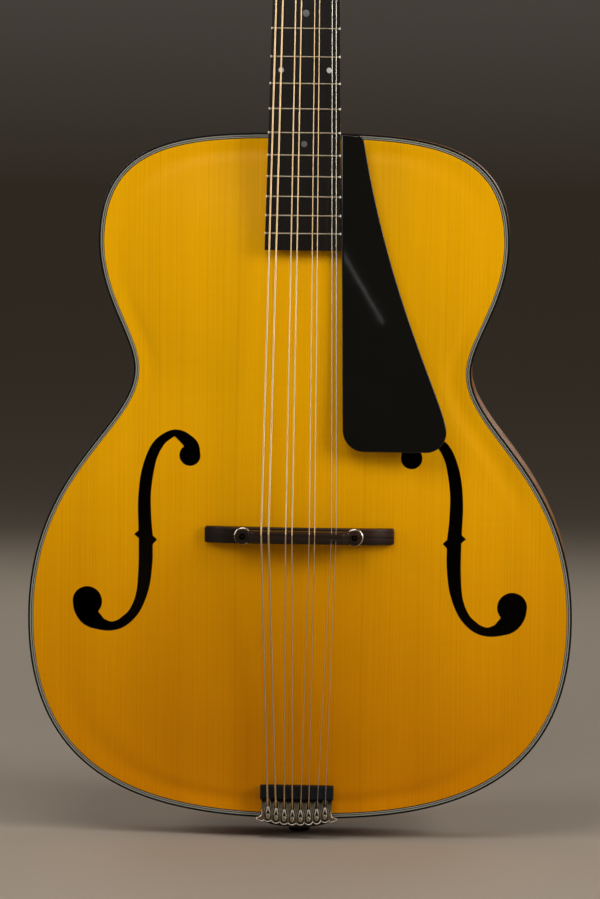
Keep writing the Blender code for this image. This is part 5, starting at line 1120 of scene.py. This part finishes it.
def buildHooks(front, floor):
    # In each cup a domed hook post, and the string's loop round it, drawn together above into a twist.
    t = tailpiece
    turns = np.linspace(0, 2 * math.pi, 24, endpoint=False)
    for number, name in enumerate(strung["names"]):
        x, z = cupPlace(number)
        z += 0.1 * mm
        rows = []
        for size, y in ((1, floor + 0.2 * mm), (1, front + 1.2 * mm), (1.12, front + 0.7 * mm), (1.1, front + 0.35 * mm),
                        (0.8, front + 0.12 * mm), (0.3, front + 0.05 * mm)):
            rows.append(np.column_stack((x + size * 1.2 * mm * np.cos(turns), np.full(24, y),
                                         z - 0.8 * mm + size * 1.6 * mm * np.sin(turns))))
        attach(sweep("hook" + name.upper(), rows, finish["hook"], slot="nickel"), "instrument")
        down = np.linspace(0, 1, 26)
        wide = np.where(down < 0.7, 0.4 + 1.03 * (down / 0.7) ** 1.6, 1.43)
        left = np.column_stack((x - wide * mm, front + 0.4 * mm + 1.6 * mm * down ** 2, z + (5.6 - 5.8 * down) * mm))
        around = np.radians(np.linspace(180, 360, 14))[1:-1]
        foot = np.column_stack((x + 1.43 * mm * np.cos(around), np.full(12, front + 2.0 * mm),
                                z - 0.2 * mm + 2.1 * mm * np.sin(around)))
        loop = np.concatenate((left, foot, left[::-1] * (-1, 1, 1) + (2 * x, 0, 0)))
        sweep("loop" + name.upper(), tube(loop, 0.5 * mm, 8), finish["loop"], slot="plain_string")


def buildDamper():
    # A rubber strip with rounded corners, dented by the strings that cross it.
    t = tailpiece
    z = np.linspace(damperZ, damperZ + t["damperHeight"], 25)
    x = np.linspace(-t["damperHalf"], t["damperHalf"], 193)
    seat = body["front"] - t["stand"] - t["plate"] - 0.05 * mm
    middle = damperZ + t["damperHeight"] / 2
    grid = np.meshgrid(x, z)
    edge = np.minimum(t["damperHalf"] - abs(grid[0]), t["damperHeight"] / 2 - abs(grid[1] - middle))
    height = 0.9 * mm * (np.sqrt(1 - (1 - np.clip(edge / (0.9 * mm), 0, 1)) ** 2) - 1)
    dent = sum(np.exp(-((grid[0] - stringX(n, middle)) / (strung["size"][n] * 0.9)) ** 2) * strung["size"][n] * 0.45
               for n in range(8))
    crown = tailY + 0.15 * mm
    face = np.stack((grid[0], crown - height + dent, grid[1]), axis=-1)
    ring = np.concatenate((face[0, :-1], face[:-1, -1], face[-1, :0:-1], face[:0:-1, 0]))
    foot = ring.copy()
    foot[:, 1] = seat
    rows, columns = grid[0].shape
    index = np.arange(rows * columns).reshape(rows, columns)
    border = np.concatenate((index[0, :-1], index[:-1, -1], index[-1, :0:-1], index[:0:-1, 0]))
    start = rows * columns
    after = np.roll(np.arange(len(border)), -1)
    walls = np.column_stack((border, start + np.arange(len(border)), start + after, border[after])).tolist()
    faces = gridFaces(rows, columns) + walls + [list(range(start, start + len(border)))]
    damper = meshFrom("damperStrip", np.concatenate((face.reshape(-1, 3), foot)), faces, finish["rubber"],
                      slot="rubber", smooth=50)
    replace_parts(damper, "string_damper")


# Pickguard
guard = {"thick": 2.8 * mm, "below": 2 * mm, "gap": 0.5 * mm, "over": 54 * mm, "corner": 14 * mm, "tip": 13 * mm,
         "tipHandle": (0.6 * mm, 15.5 * mm), "width": 67.3 * mm, "topWidth": 15.1 * mm, "topCorner": 5 * mm,
         "topInset": 1.5 * mm, "topHandle": (17.9 * mm, -104.5 * mm), "ease": 0.5 * mm}


def guardOutline(grow=0.0):
    # The guard's edge, as (x, z): beside the board, round at its two lower corners and its upper outer one.
    g = guard
    low, high = body["bridge"] + g["over"], body["top"] - g["topInset"]
    leftLow, leftHigh = boardHalf(low) + g["gap"], boardHalf(high) + g["gap"]
    turns = lambda a, b, n: np.radians(np.linspace(a, b, n))
    corner = arcOf(g["corner"], turns(180, 270, 12), (leftLow + g["corner"], low + g["corner"]))
    tip = arcOf(g["tip"], turns(270, 360, 14), (leftLow + g["width"] - g["tip"], low + g["tip"]))
    shoulder = arcOf(g["topCorner"], turns(12, 90, 9),
                     (leftHigh + g["topWidth"] - g["topCorner"], high - g["topCorner"]))
    t = np.linspace(0, 1, 40)[1:-1, None]
    a, d = tip[-1], shoulder[0]
    b, c = a + g["tipHandle"], d + g["topHandle"]
    edge = (1 - t) ** 3 * a + 3 * (1 - t) ** 2 * t * b + 3 * (1 - t) * t ** 2 * c + t ** 3 * d
    line = np.concatenate((corner, tip, edge, shoulder, [(leftHigh, high)]))
    run = np.roll(line, -1, axis=0) - np.roll(line, 1, axis=0)
    run /= np.linalg.norm(run, axis=1)[:, None]
    return line + grow * np.column_stack((run[:, 1], -run[:, 0]))


def buildGuard():
    g = guard
    rings = []
    ease = [(g["ease"] * (1 - math.cos(a)), g["ease"] * (1 - math.sin(a))) for a in np.linspace(0, math.pi / 2, 6)]
    rows = [(3 * g["ease"], 0)] + ease[::-1] + [(inset, g["thick"] - drop) for inset, drop in ease]
    rows += [(3 * g["ease"], g["thick"])]
    for inset, depth in rows:
        line = guardOutline(-inset)
        rings.append(np.column_stack((line[:, 0], boardY(line[:, 1]) + g["below"] + depth, line[:, 1])))
    piece = sweep("pickguardPlate", rings, finish["guard"], slot="black_guard", smooth=40)
    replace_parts(piece, "pickguard")


buildStrings()
buildBase()
buildSaddle()
buildPosts()
print("strings and bridge built")
buildTailpiece()
buildDamper()
buildGuard()
print("tailpiece and guard built")


# Neck and headstock
neckWood = {"deepNut": 15 * mm, "deepBody": 17.5 * mm, "heelReach": 17 * mm, "heelSweep": 42 * mm, "narrowing": 0.2,
            "cap": 2 * mm, "riseRoot": 6 * mm, "riseLength": 59 * mm, "riseTip": 1.2 * mm, "bend": 9 * mm,
            "volute": 1.6 * mm}
head = {"thick": 13 * mm, "flare": ((17.56, -4), (17.56, 2), (19.06, 7), (24.5, 15), (30, 19)),
        "crest": ((31.5, 117), (31.4, 120.5), (30, 129), (23, 141.6), (13.2, 146), (5.4, 143.6), (0, 141)),
        "plateFrom": 17.1, "overlayFrom": 0.5, "overlay": (0.3 * mm, 2.3 * mm), "pocketHalf": 4.8 * mm,
        "pocket": (-1 * mm, 17 * mm), "pocketDepth": 10.5 * mm, "postHole": 3.3 * mm,
        "cover": ((5.2, 2), (8.6, 6), (9.5, 11), (8.9, 19), (5.4, 26.5), (2.2, 31.5), (0, 34)), "coverHigh": (2.6 * mm, 4.6 * mm),
        "coverScrews": ((0, 28), (-6.2, 7.5), (6.2, 7.5))}
tuner = {"plateHalf": 6.5 * mm, "plate": (-14.5 * mm, -13.3 * mm), "margin": 13 * mm, "reach": 7.2 * mm,
         "axis": -17.6 * mm, "teeth": 14, "tip": 5.71 * mm, "root": 4.04 * mm, "gear": (-19.1 * mm, -16.9 * mm),
         "postTop": 9.8 * mm, "pitch": 2.24 * mm, "wormTip": 2.75 * mm, "wormRoot": 1.15 * mm, "wormLength": 7.4 * mm,
         "threadTip": 0.178 * mm, "threadRoot": 0.761 * mm, "lug": (1.2 * mm, 2.5 * mm, 3.35 * mm, 0.45 * mm),
         "button": ((16.1, 1.15), (16.5, 1.9), (17.0, 3.5), (18.6, 5.5), (21.7, 6.6), (25.4, 6.3), (28.1, 4.8), (29.3, 2.7),
                    (29.5, 0.05)), "buttonDepth": 0.55}
strap = ((3.0, 12.7), (6.4, 12.7), (6.4, 11.4), (5.9, 11), (4.5, 10), (4.2, 8.6), (4.3, 6.6), (5, 5), (6.6, 3.9), (7.2, 2.8),
         (7.1, 1.6), (6.3, 0.6), (4.6, 0.1), (0.05, 0))


def spun(name, profile, at, place, material, sides=32, **more):
    # A profile of (radius, height) turned about the axis through at, then put in place.
    turns = np.linspace(0, 2 * math.pi, sides, endpoint=False)
    rings = [place(np.column_stack((at[0] + radius * np.cos(turns), at[1] + radius * np.sin(turns),
                                    np.full(sides, height)))) for radius, height in profile]
    return sweep(name, rings, material, **more)


def boxTool(low, high, place=onHead):
    corners = [(low[0], low[1]), (high[0], low[1]), (high[0], high[1]), (low[0], high[1])]
    rings = [place([(*corner, height) for corner in corners]) for height in (low[2], high[2])]
    return sweep("boxTool", rings, finish["holeEdge"], body=None)


def easedPlate(name, line, low, high, ease, material, place=onHead, **more):
    # A closed outline of (x, u) between two heights; the edges are rounded by ease.
    run = np.roll(line, -1, axis=0) - np.roll(line, 1, axis=0)
    run /= np.linalg.norm(run, axis=1)[:, None]
    outward = np.column_stack((run[:, 1], -run[:, 0]))
    corner = [(ease * (1 - math.cos(a)), ease * (1 - math.sin(a))) for a in np.linspace(0, math.pi / 2, 5)]
    rows = [(3 * ease, low)] + [(inset, low + drop) for inset, drop in corner[::-1]]
    rows += [(inset, high - drop) for inset, drop in corner] + [(3 * ease, high)]
    rings = [place(np.column_stack((line - inset * outward, np.full(len(line), height)))) for inset, height in rows]
    return sweep(name, rings, material, **more)


def screw(name, x, u, f, radius, rise=1, place=onHead, body="instrument"):
    # A domed head with a slot; rise tells which way it stands off its seat.
    profile = [(radius * r, f + rise * radius * h) for r, h in ((1, -0.3), (1, 0.12), (0.8, 0.32), (0.45, 0.43), (0.02, 0.46))]
    piece = spun(name, profile, (x, u), place, finish["nickel"], 20, body=body, slot="nickel", smooth=40)
    low, high = sorted((f + rise * 0.22 * radius, f + rise * radius))
    cutWith(piece, boxTool((x - 2 * radius, u - 0.14 * radius, low), (x + 2 * radius, u + 0.14 * radius, high), place))


def woodY(z):
    return boardY(z) + neck["thick"] + neck["seam"]


def neckRing(z, heel):
    # Half an oval behind the glued face: x = half cos a, y = face + depth sin a; the heel is deeper and narrower.
    n = neckWood
    turns = np.linspace(0, math.pi, 33)
    face, last = woodY(z), -body["front"]
    shaft = n["deepNut"] + (n["deepBody"] - n["deepNut"]) * (neck["nut"] - z) / (neck["nut"] - body["top"])
    back = (shaft + (1.25 * (last - face) - shaft) * heel) * np.sin(turns)
    narrow = 1 - n["narrowing"] * np.minimum(back / (last - face), 1) * min(3 * heel, 1)
    half = boardHalf(min(z, neck["nut"])) - neck["seam"] / 2
    return np.column_stack((half * narrow * np.cos(turns), face + back, np.full(len(turns), z)))


def headRing(u):
    # The neck's round back squares up into the headstock: x = half cos^(2/n) a, f = -thick sin^(2/n) a.
    share = min((u + 1) / 20, 1)
    power = 2 / (2 + 70 * share ** 3)
    turns = np.linspace(0, math.pi, 33)
    line = curveThrough(head["flare"], 6)
    half = (np.interp(u, line[:, 1], line[:, 0]) if u <= 19 else 28.5) * mm
    # past the shoulders the ring sinks into the plate's back
    thick = head["thick"] + neckWood["volute"] * (1 - share) ** 2 + (0.15 - 0.06 * max(u - 19, 0)) * mm
    across = half * np.sign(np.cos(turns)) * abs(np.cos(turns)) ** power
    return onHead(np.column_stack((across, np.full(len(turns), u * mm), -thick * np.sin(turns) ** power)))


def neckLoft(name, finishName, slot):
    start = body["top"] + neck["seam"]
    rings = [neckRing(start, 1)]
    for a in np.radians(np.linspace(90, 0, 25)):
        rings.append(neckRing(start + neckWood["heelReach"] + neckWood["heelSweep"] * (1 - math.sin(a)), 1 - math.cos(a)))
    low = start + neckWood["heelReach"] + neckWood["heelSweep"]
    rings += [neckRing(z, 0) for z in np.linspace(low, headFoot - neckWood["bend"], 12)[1:]]
    rings += [headRing(u) for u in [*np.linspace(-1, 19, 14), 20.5, 23]]
    return sweep(name, rings, finish[finishName], slot=slot, smooth=32)


def headOutline(low):
    # The headstock's front: concave sides over the nut, straight sides and a crest with a shallow dip.
    side = curveThrough(head["flare"], 6)
    treble = np.concatenate((side[side[:, 1] >= low], curveThrough(head["crest"], 8)))
    return np.concatenate((treble, treble[-2::-1] * (-1, 1))) * mm


def postPlaces():
    return [(word, number + 1, side, side * strung["postX"], strung["firstPost"] + strung["postPitch"] * number)
            for word, side in (("bass", -1), ("treble", 1)) for number in range(4)]


def cutHead(piece, pocket=True):
    h = head
    if pocket:
        cutWith(piece, boxTool((-h["pocketHalf"], h["pocket"][0], -h["pocketDepth"]), (h["pocketHalf"], h["pocket"][1], h["thick"])))
    for _, _, _, x, u in postPlaces():
        tool = spun("postHole", [(h["postHole"], -2 * h["thick"]), (h["postHole"], h["thick"])], (x, u), onHead,
                    finish["holeEdge"], 24, body=None)
        cutWith(piece, tool)


def buildNeck():
    n, back = neckWood, -body["front"]
    flat = lambda points: np.asarray(points, dtype=float)
    past = 200 * mm
    wood = neckLoft("neckShaft", "neckMaple", "maple_neck")
    cutWith(wood, boxTool((-past, back - n["cap"] - neck["seam"], 0), (past, past, 2 * neck["nut"]), flat))
    cutWith(wood, boxTool((-head["pocketHalf"], head["pocket"][0], -head["pocketDepth"]),
                          (head["pocketHalf"], head["pocket"][1], head["thick"])))
    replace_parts(wood, "neck")
    cap = neckLoft("heelCapPlate", "headEbony", "ebony")
    cutWith(cap, boxTool((-past, back - n["cap"], 0), (past, back, body["top"] + 60 * mm), flat), "INTERSECT")
    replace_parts(cap, "heel_cap")
    joint, tip = body["top"] + neck["seam"], body["top"] - n["riseLength"]
    root = joint + n["riseRoot"]
    under = body["front"] - 2 * neck["seam"]
    line = np.array([(woodY(root), root), (woodY(tip), tip), (woodY(tip) + n["riseTip"], tip),
                     (under, joint - neck["seam"]), (under, root)])
    half = boardHalf(body["top"]) - neck["seam"]
    sweep("boardRise", [np.column_stack((np.full(5, x), line)) for x in (-half, half)], finish["neckMaple"],
          slot="maple_neck")
    plate = easedPlate("headWood", headOutline(head["plateFrom"]), -head["thick"], -0.02 * mm, 0.7 * mm,
                       finish["neckMaple"], slot="maple_neck", smooth=32)
    cutHead(plate, False)
    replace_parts(plate, "neck")
    overlay = easedPlate("headOverlay", headOutline(head["overlayFrom"]), *head["overlay"], 0.45 * mm,
                         finish["headEbony"], slot="ebony", smooth=32)
    cutHead(overlay)
    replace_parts(overlay, "headstock_overlay")
    treble = curveThrough(head["cover"], 6)
    line = np.concatenate((treble, treble[-2::-1] * (-1, 1))) * mm
    cover = easedPlate("rodCover", line, *head["coverHigh"], 0.5 * mm, finish["headEbony"], slot="ebony", smooth=32)
    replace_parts(cover, "truss_rod_cover")
    for number, (x, u) in enumerate(head["coverScrews"]):
        screw(f"coverScrew{number + 1}", x * mm, u * mm, head["coverHigh"][1], 1.5 * mm)


def buildNut():
    # Sections across the neck: a crest falling towards the headstock, with a round groove under each string.
    half, z0 = neck["nutWidth"] / 2, neck["nut"] + neck["seam"]
    radius = strung["size"] / 2 + 0.08 * mm
    centres = nutY - strung["size"] / 2 + camber(strung["nutX"])
    turns = np.cos(np.linspace(0, math.pi, 13))
    x = np.concatenate([np.linspace(-half, half, 41)] + [p + r * turns for p, r in zip(strung["nutX"], radius)])
    x = np.unique(np.round(x, 7))
    level = nutY - 0.35 * mm + camber(x)
    for place, r, centre in zip(strung["nutX"], radius, centres):
        groove = centre + np.sqrt(np.maximum(r ** 2 - (x - place) ** 2, 0))
        level = np.where(abs(x - place) < r, np.maximum(level, groove), level)
    level[[0, -1]] += 0.3 * mm
    along = np.array([0, 0.05, 0.2, 0.5, 0.75, 0.92, 1])
    drop = np.array([0.25, 0.03, 0, 0.12, 0.35, 0.8, 1.4]) * mm
    top = np.stack((np.broadcast_to(x[:, None], (len(x), 7)), level[:, None] + drop,
                    z0 + strung["nutThick"] * np.broadcast_to(along, (len(x), 7))), axis=-1)
    seat = np.stack([np.column_stack((x, np.full(len(x), woodY(z) - neck["seam"]), np.full(len(x), z)))
                     for z in (z0 + strung["nutThick"], z0)], axis=1)
    piece = sweep("stringNut", np.concatenate((top, seat), axis=1), finish["bone"], slot="bone", smooth=40)
    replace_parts(piece, "nut")


def buildSideDots():
    for number, shift in ((3, 0), (5, 0), (7, 0), (10, 0), (12, -3.5), (12, 3.5), (15, 0)):
        z = (fretZ(number) + fretZ(number - 1)) / 2 + shift * mm
        edge = lambda points: np.column_stack((-boardHalf(z) - np.asarray(points)[:, 2], np.asarray(points)[:, :2]))
        spun(f"sideDot{number}{'b' if shift > 0 else ''}", [(1 * mm, -0.4 * mm), (1 * mm, 0.03 * mm), (0.6 * mm, 0.06 * mm),
             (0.01 * mm, 0.07 * mm)], (boardY(z) + 2.6 * mm, z), edge, finish["pearl"], 20, slot="bone")


# Tuners
def buildTuners():
    t = tuner
    for word, side in (("bass", -1), ("treble", 1)):
        centre = side * strung["postX"]
        low = strung["firstPost"] - t["margin"] + t["plateHalf"]
        high = strung["firstPost"] + 3 * strung["postPitch"] + t["reach"] + t["margin"] - t["plateHalf"]
        line = np.concatenate((arcOf(t["plateHalf"], np.linspace(0, math.pi, 25), (centre, high)),
                               arcOf(t["plateHalf"], np.linspace(math.pi, 2 * math.pi, 25), (centre, low))))
        plate = easedPlate("tunerStrip" + word.title(), line, *t["plate"], 0.3 * mm, finish["nickel"], slot="nickel")
        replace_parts(plate, "tuner_plate_" + word)
        for number in range(3):
            u = strung["firstPost"] + strung["postPitch"] * number + 0.68 * strung["postPitch"]
            screw(f"stripScrew{word.title()}{number + 1}", centre + side * 3.6 * mm, u, t["plate"][0], 1.3 * mm, -1)
    for word, number, side, x, u in postPlaces():
        label = f"{word.title()}{number}"
        buildPost(label, f"{word}_{number}", x, u)
        buildKey(label, f"{word}_{number}", side, x, u)
        for end in (-1, 1):
            buildLug(f"lug{label}{'Out' if end * side > 0 else 'In'}", x, u, end)


def buildPost(label, name, x, u):
    # A post in one piece with its worm wheel: tooth = root + (tip - root) (0.5 + 0.5 cos 14 a)^1.2, one tooth up.
    t = tuner
    r, top = strung["postRadius"] / mm, t["postTop"] / mm
    low, high = (height / mm for height in t["gear"])
    profile = [(0.05, top), (1.7, top - 0.05), (2.5, top - 0.3), (r, top - 0.9), (r, top - 1.9), (r - 0.4, top - 2.3),
               (r - 0.4, top - 3.2), (r, top - 3.6), (r, high + 0.6), (3.4, high + 0.3), (3.6, high)]
    turns = np.linspace(0, 2 * math.pi, 14 * 12, endpoint=False)
    tooth = (0.5 + 0.5 * np.cos(t["teeth"] * (turns - math.pi / 2))) ** 1.2
    wheel = t["root"] + (t["tip"] - t["root"]) * tooth
    rows = [(np.full(len(turns), radius * mm), height * mm) for radius, height in profile]
    rows += [(wheel - inset * mm, height * mm) for inset, height in
             ((0.35, high), (0, high - 0.25), (0, low + 0.25), (0.35, low))]
    rows += [(np.full(len(turns), 2.9 * mm), low * mm), (np.full(len(turns), 0.05 * mm), low * mm)]
    rings = [onHead(np.column_stack((x + radius * np.cos(turns), u + radius * np.sin(turns), np.full(len(turns), height))))
             for radius, height in rows]
    post = sweep("post" + label, rings, finish["nickel"], body="post_" + name, slot="nickel", smooth=32)
    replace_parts(post, "tuner_post_" + name)
    screw("postScrew" + label, x, u, t["gear"][0], 2.3 * mm, -1, body="post_" + name)
    ring = [(3.25, 2.3), (3.25, 3.0), (3.5, 3.1), (4.4, 2.9), (4.9, 2.6), (5.0, 2.35)]
    rings = [onHead(np.column_stack((x + radius * mm * np.cos(turns[::4]), u + radius * mm * np.sin(turns[::4]),
                                     np.full(len(turns[::4]), height * mm)))) for radius, height in ring]
    sweep("bushing" + label, rings, finish["nickel"], closedPath=True, slot="nickel", smooth=40)


def buildKey(label, name, side, x, u):
    # A worm on its shaft, whose thread moves on by one pitch a turn, and an oval button at the outer end.
    t = tuner
    half = t["wormLength"] / 2
    turns = np.linspace(0, 2 * math.pi, 32, endpoint=False)
    s = np.linspace(-half, half, 100)
    apart = abs((s[:, None] / t["pitch"] - turns / (2 * math.pi)) % 1 - 0.5) * t["pitch"]
    thread = np.clip((t["threadRoot"] - apart) / (t["threadRoot"] - t["threadTip"]), 0, 1)
    fade = np.clip((half - abs(s)) / (0.5 * mm), 0, 1)[:, None]
    radius = t["wormRoot"] + (t["wormTip"] - t["wormRoot"]) * thread * fade
    button = curveThrough(t["button"], 5) * mm
    ends = [(-half - 1.35 * mm, 0.9 * mm), (-half - 1.2 * mm, t["wormRoot"])]
    places = np.concatenate(([place for place, _ in ends], s, button[:, 0]))
    wide = np.concatenate((np.tile([[r] for _, r in ends], (1, 32)), radius, np.tile(button[:, 1:], (1, 32))))
    flat = np.where(places > button[0, 0] + 0.2 * mm, t["buttonDepth"], 1.0)[:, None]
    flat = np.where(wide < 1.9 * mm, 1.0, flat)
    local = (places[:, None], wide * np.cos(turns), wide * flat * np.sin(turns))
    rings = [onHead(np.column_stack((np.full(32, x + side * place), u + t["reach"] - y, t["axis"] - side * z)))
             for place, y, z in zip(places, local[1], local[2])]
    key = sweep("key" + label, rings, finish["nickel"], body="key_" + name, slot="nickel", smooth=45, merge=1e-8)
    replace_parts(key, "tuner_key_" + name)


def buildLug(name, x, u, end):
    # A bearing standing on the strip, with a bore for the shaft.
    t = tuner
    thick, wide, tall, down = t["lug"]
    inner = x + end * (t["wormLength"] / 2 + 0.1 * mm)
    turns = np.linspace(0, 2 * math.pi, 32, endpoint=False)
    outer = [np.sign(wave(turns)) * abs(wave(turns)) ** 0.55 * size for wave, size in ((np.cos, wide), (np.sin, tall))]
    bore = t["wormRoot"] + 0.1 * mm
    rings = []
    for place, around, rise in ((inner, outer, down), (inner + end * thick, outer, down),
                                (inner + end * thick, (bore * np.cos(turns), bore * np.sin(turns)), 0),
                                (inner, (bore * np.cos(turns), bore * np.sin(turns)), 0)):
        rings.append(onHead(np.column_stack((np.full(32, place), u + t["reach"] + around[0], t["axis"] + rise + around[1]))))
    sweep(name, rings, finish["nickel"], closedPath=True, slot="nickel", smooth=40)


buildNeck()
buildNut()
buildSideDots()
buildTuners()
strapButton = spun("strapButton", [(radius * mm, height * mm) for radius, height in strap], (0, 0),
                   lambda points: np.asarray(points), finish["headEbony"], 40, slot="ebony", smooth=50)
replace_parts(strapButton, "strap_button")
print("neck and tuners built")


# Carried-over nodes
nodeFinish = {
    "neck": "neckMaple", "truss_rod": "steel", "truss_rod_nut": "brass", "truss_rod_cover": "headEbony",
    "heel_cap": "headEbony", "headstock_overlay": "headEbony", "nut": "bone", "bridge_base": "bridgeEbony",
    "bridge_saddle": "bridgeEbony", "bridge_post": "brass", "thumbwheel": "nickel", "pickguard": "guard",
    "pickguard_block": "ebony", "tailpiece": "castNickel", "string_damper": "rubber", "strap_button": "headEbony",
    # linings, tone bars and blocks take the darkened bare wood: painted shade inside the box
    "string_e": "plain", "string_": "bronze", "tuner_": "nickel", "lining": "bare", "tone_bar": "bare",
    "neck_block": "bare", "tail_block": "bare",
}
for nodeName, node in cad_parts.items():
    if node.hide_render:
        continue
    best = max((key for key in nodeFinish if nodeName.startswith(key)), key=len)
    node.data.materials.clear()
    node.data.materials.append(finish[nodeFinish[best]])


# Floor, light and camera
# each softbox: azimuth and elevation in degrees seen from the front, distance, width, height, power
studio = {"floor": (0.42, 0.36, 0.295), "sky": (0.062, 0.054, 0.045), "lowSky": (0.028, 0.0215, 0.0155),
          "skyRise": (-0.0116, 0.03), "middle": (0, -40 * mm, 250 * mm), "half": 40.0,
          "softboxes": {"high": (-12, 42, 1.0, 0.5, 0.5, 3.1), "right": (58, 20, 1.9, 0.7, 0.9, 21.4),
                        "left": (-68, 20, 2.2, 0.7, 0.9, 15.8), "rearLeft": (-152, 22, 2.2, 0.9, 0.9, 7.0),
                        "rearRight": (152, 22, 2.2, 0.9, 0.9, 7.0)},
          "stripPlace": (-44 * mm, -2.8, 0.641), "stripSlant": 31, "stripSize": (0.0018, 0.1), "stripPower": 0.0017}
view = {"azimuth": 2.4, "elevation": 3.6, "roll": 0.70, "distance": 3.3, "target": (-0.000857, -0.04, 0.25618),
        "focal": 4281.7 * 3.3 / 2.8}


def buildFloor():
    # a flat square of grid faces, whose middle is under the instrument
    line = np.linspace(-studio["half"], studio["half"], 9)
    across, along = np.meshgrid(line, line)
    points = np.stack((across, along, np.full(across.shape, -0.2 * mm)), axis=-1)
    floor = meshFrom("studioFloor", points, gridFaces(9, 9), paleFloor(), body=None)


def paleFloor():
    material, tree, shader, place = startMaterial("paleFloor", specular=0.1)
    worn = useGroup(tree, handling, Vector=place, Base=0.75, Amount=0.1)
    tint = blendColour(tree, calc(tree, "MULTIPLY", worn.outputs["Smear"], 0.2), studio["floor"],
                       tuple(c * 0.97 for c in studio["floor"]))
    feed(tree, shader, tint, worn.outputs["Roughness"])
    return material


def softbox(name, place, aim, width, height, power, colour=(1, 0.985, 0.96)):
    light = bpy.data.lights.new(name, "AREA")
    light.shape = "RECTANGLE"
    light.size, light.size_y = width, height
    light.energy = power
    light.color = colour
    lamp = bpy.data.objects.new(name, light)
    bpy.context.scene.collection.objects.link(lamp)
    lamp.location = place
    lamp.rotation_euler = (Vector(aim) - Vector(place)).to_track_quat("-Z", "Y").to_euler()
    lamp.visible_camera = False
    return lamp


def buildLights():
    middle = Vector(studio["middle"])
    for name, (azimuth, elevation, distance, width, height, power) in studio["softboxes"].items():
        turn, lift = math.radians(azimuth), math.radians(elevation)
        outward = Vector((math.sin(turn) * math.cos(lift), -math.cos(turn) * math.cos(lift), math.sin(lift)))
        softbox(name, middle + distance * outward, middle, width, height, power)
    strip = softbox("strip", studio["stripPlace"], (0.04, -0.055, 0.36), *studio["stripSize"], studio["stripPower"])
    strip.rotation_euler.rotate_axis("Z", math.radians(studio["stripSlant"]))
    world = bpy.data.worlds.new("softSky")
    world.use_nodes = True
    # the sky darkens to the far floor's tone at the horizon
    tree = world.node_tree
    height = put(tree, "ShaderNodeSeparateXYZ", {0: put(tree, "ShaderNodeTexCoord").outputs["Generated"]}).outputs[2]
    low, high = studio["skyRise"]
    share = calc(tree, "DIVIDE", calc(tree, "SUBTRACT", height, low), high - low)
    tree.links.new(ramp(tree, share, (0.0, studio["lowSky"]), (1.0, studio["sky"])), tree.nodes["Background"].inputs[0])
    bpy.context.scene.world = world


def buildCamera():
    azimuth, elevation, roll = (math.radians(view[key]) for key in ("azimuth", "elevation", "roll"))
    outward = Vector((math.sin(azimuth) * math.cos(elevation), -math.cos(azimuth) * math.cos(elevation),
                      math.sin(elevation)))
    forward = -outward
    right = forward.cross(Vector((0, 0, 1))).normalized()
    up = right.cross(forward)
    r = right * math.cos(roll) + up * math.sin(roll)
    u = up * math.cos(roll) - right * math.sin(roll)
    lens = bpy.data.cameras.new("photoCamera")
    lens.sensor_fit = "HORIZONTAL"
    lens.sensor_width = 36
    lens.lens = view["focal"] * 36 / 600
    lens.clip_end = 50
    camera = bpy.data.objects.new("photoCamera", lens)
    bpy.context.scene.collection.objects.link(camera)
    place = Vector(view["target"]) + outward * view["distance"]
    camera.matrix_world = Matrix.Translation(place) @ Matrix((r, u, -forward)).transposed().to_4x4()
    bpy.context.scene.camera = camera


buildFloor()
buildLights()
buildCamera()
bpy.context.scene.view_settings.view_transform = "Standard"
print("studio built")
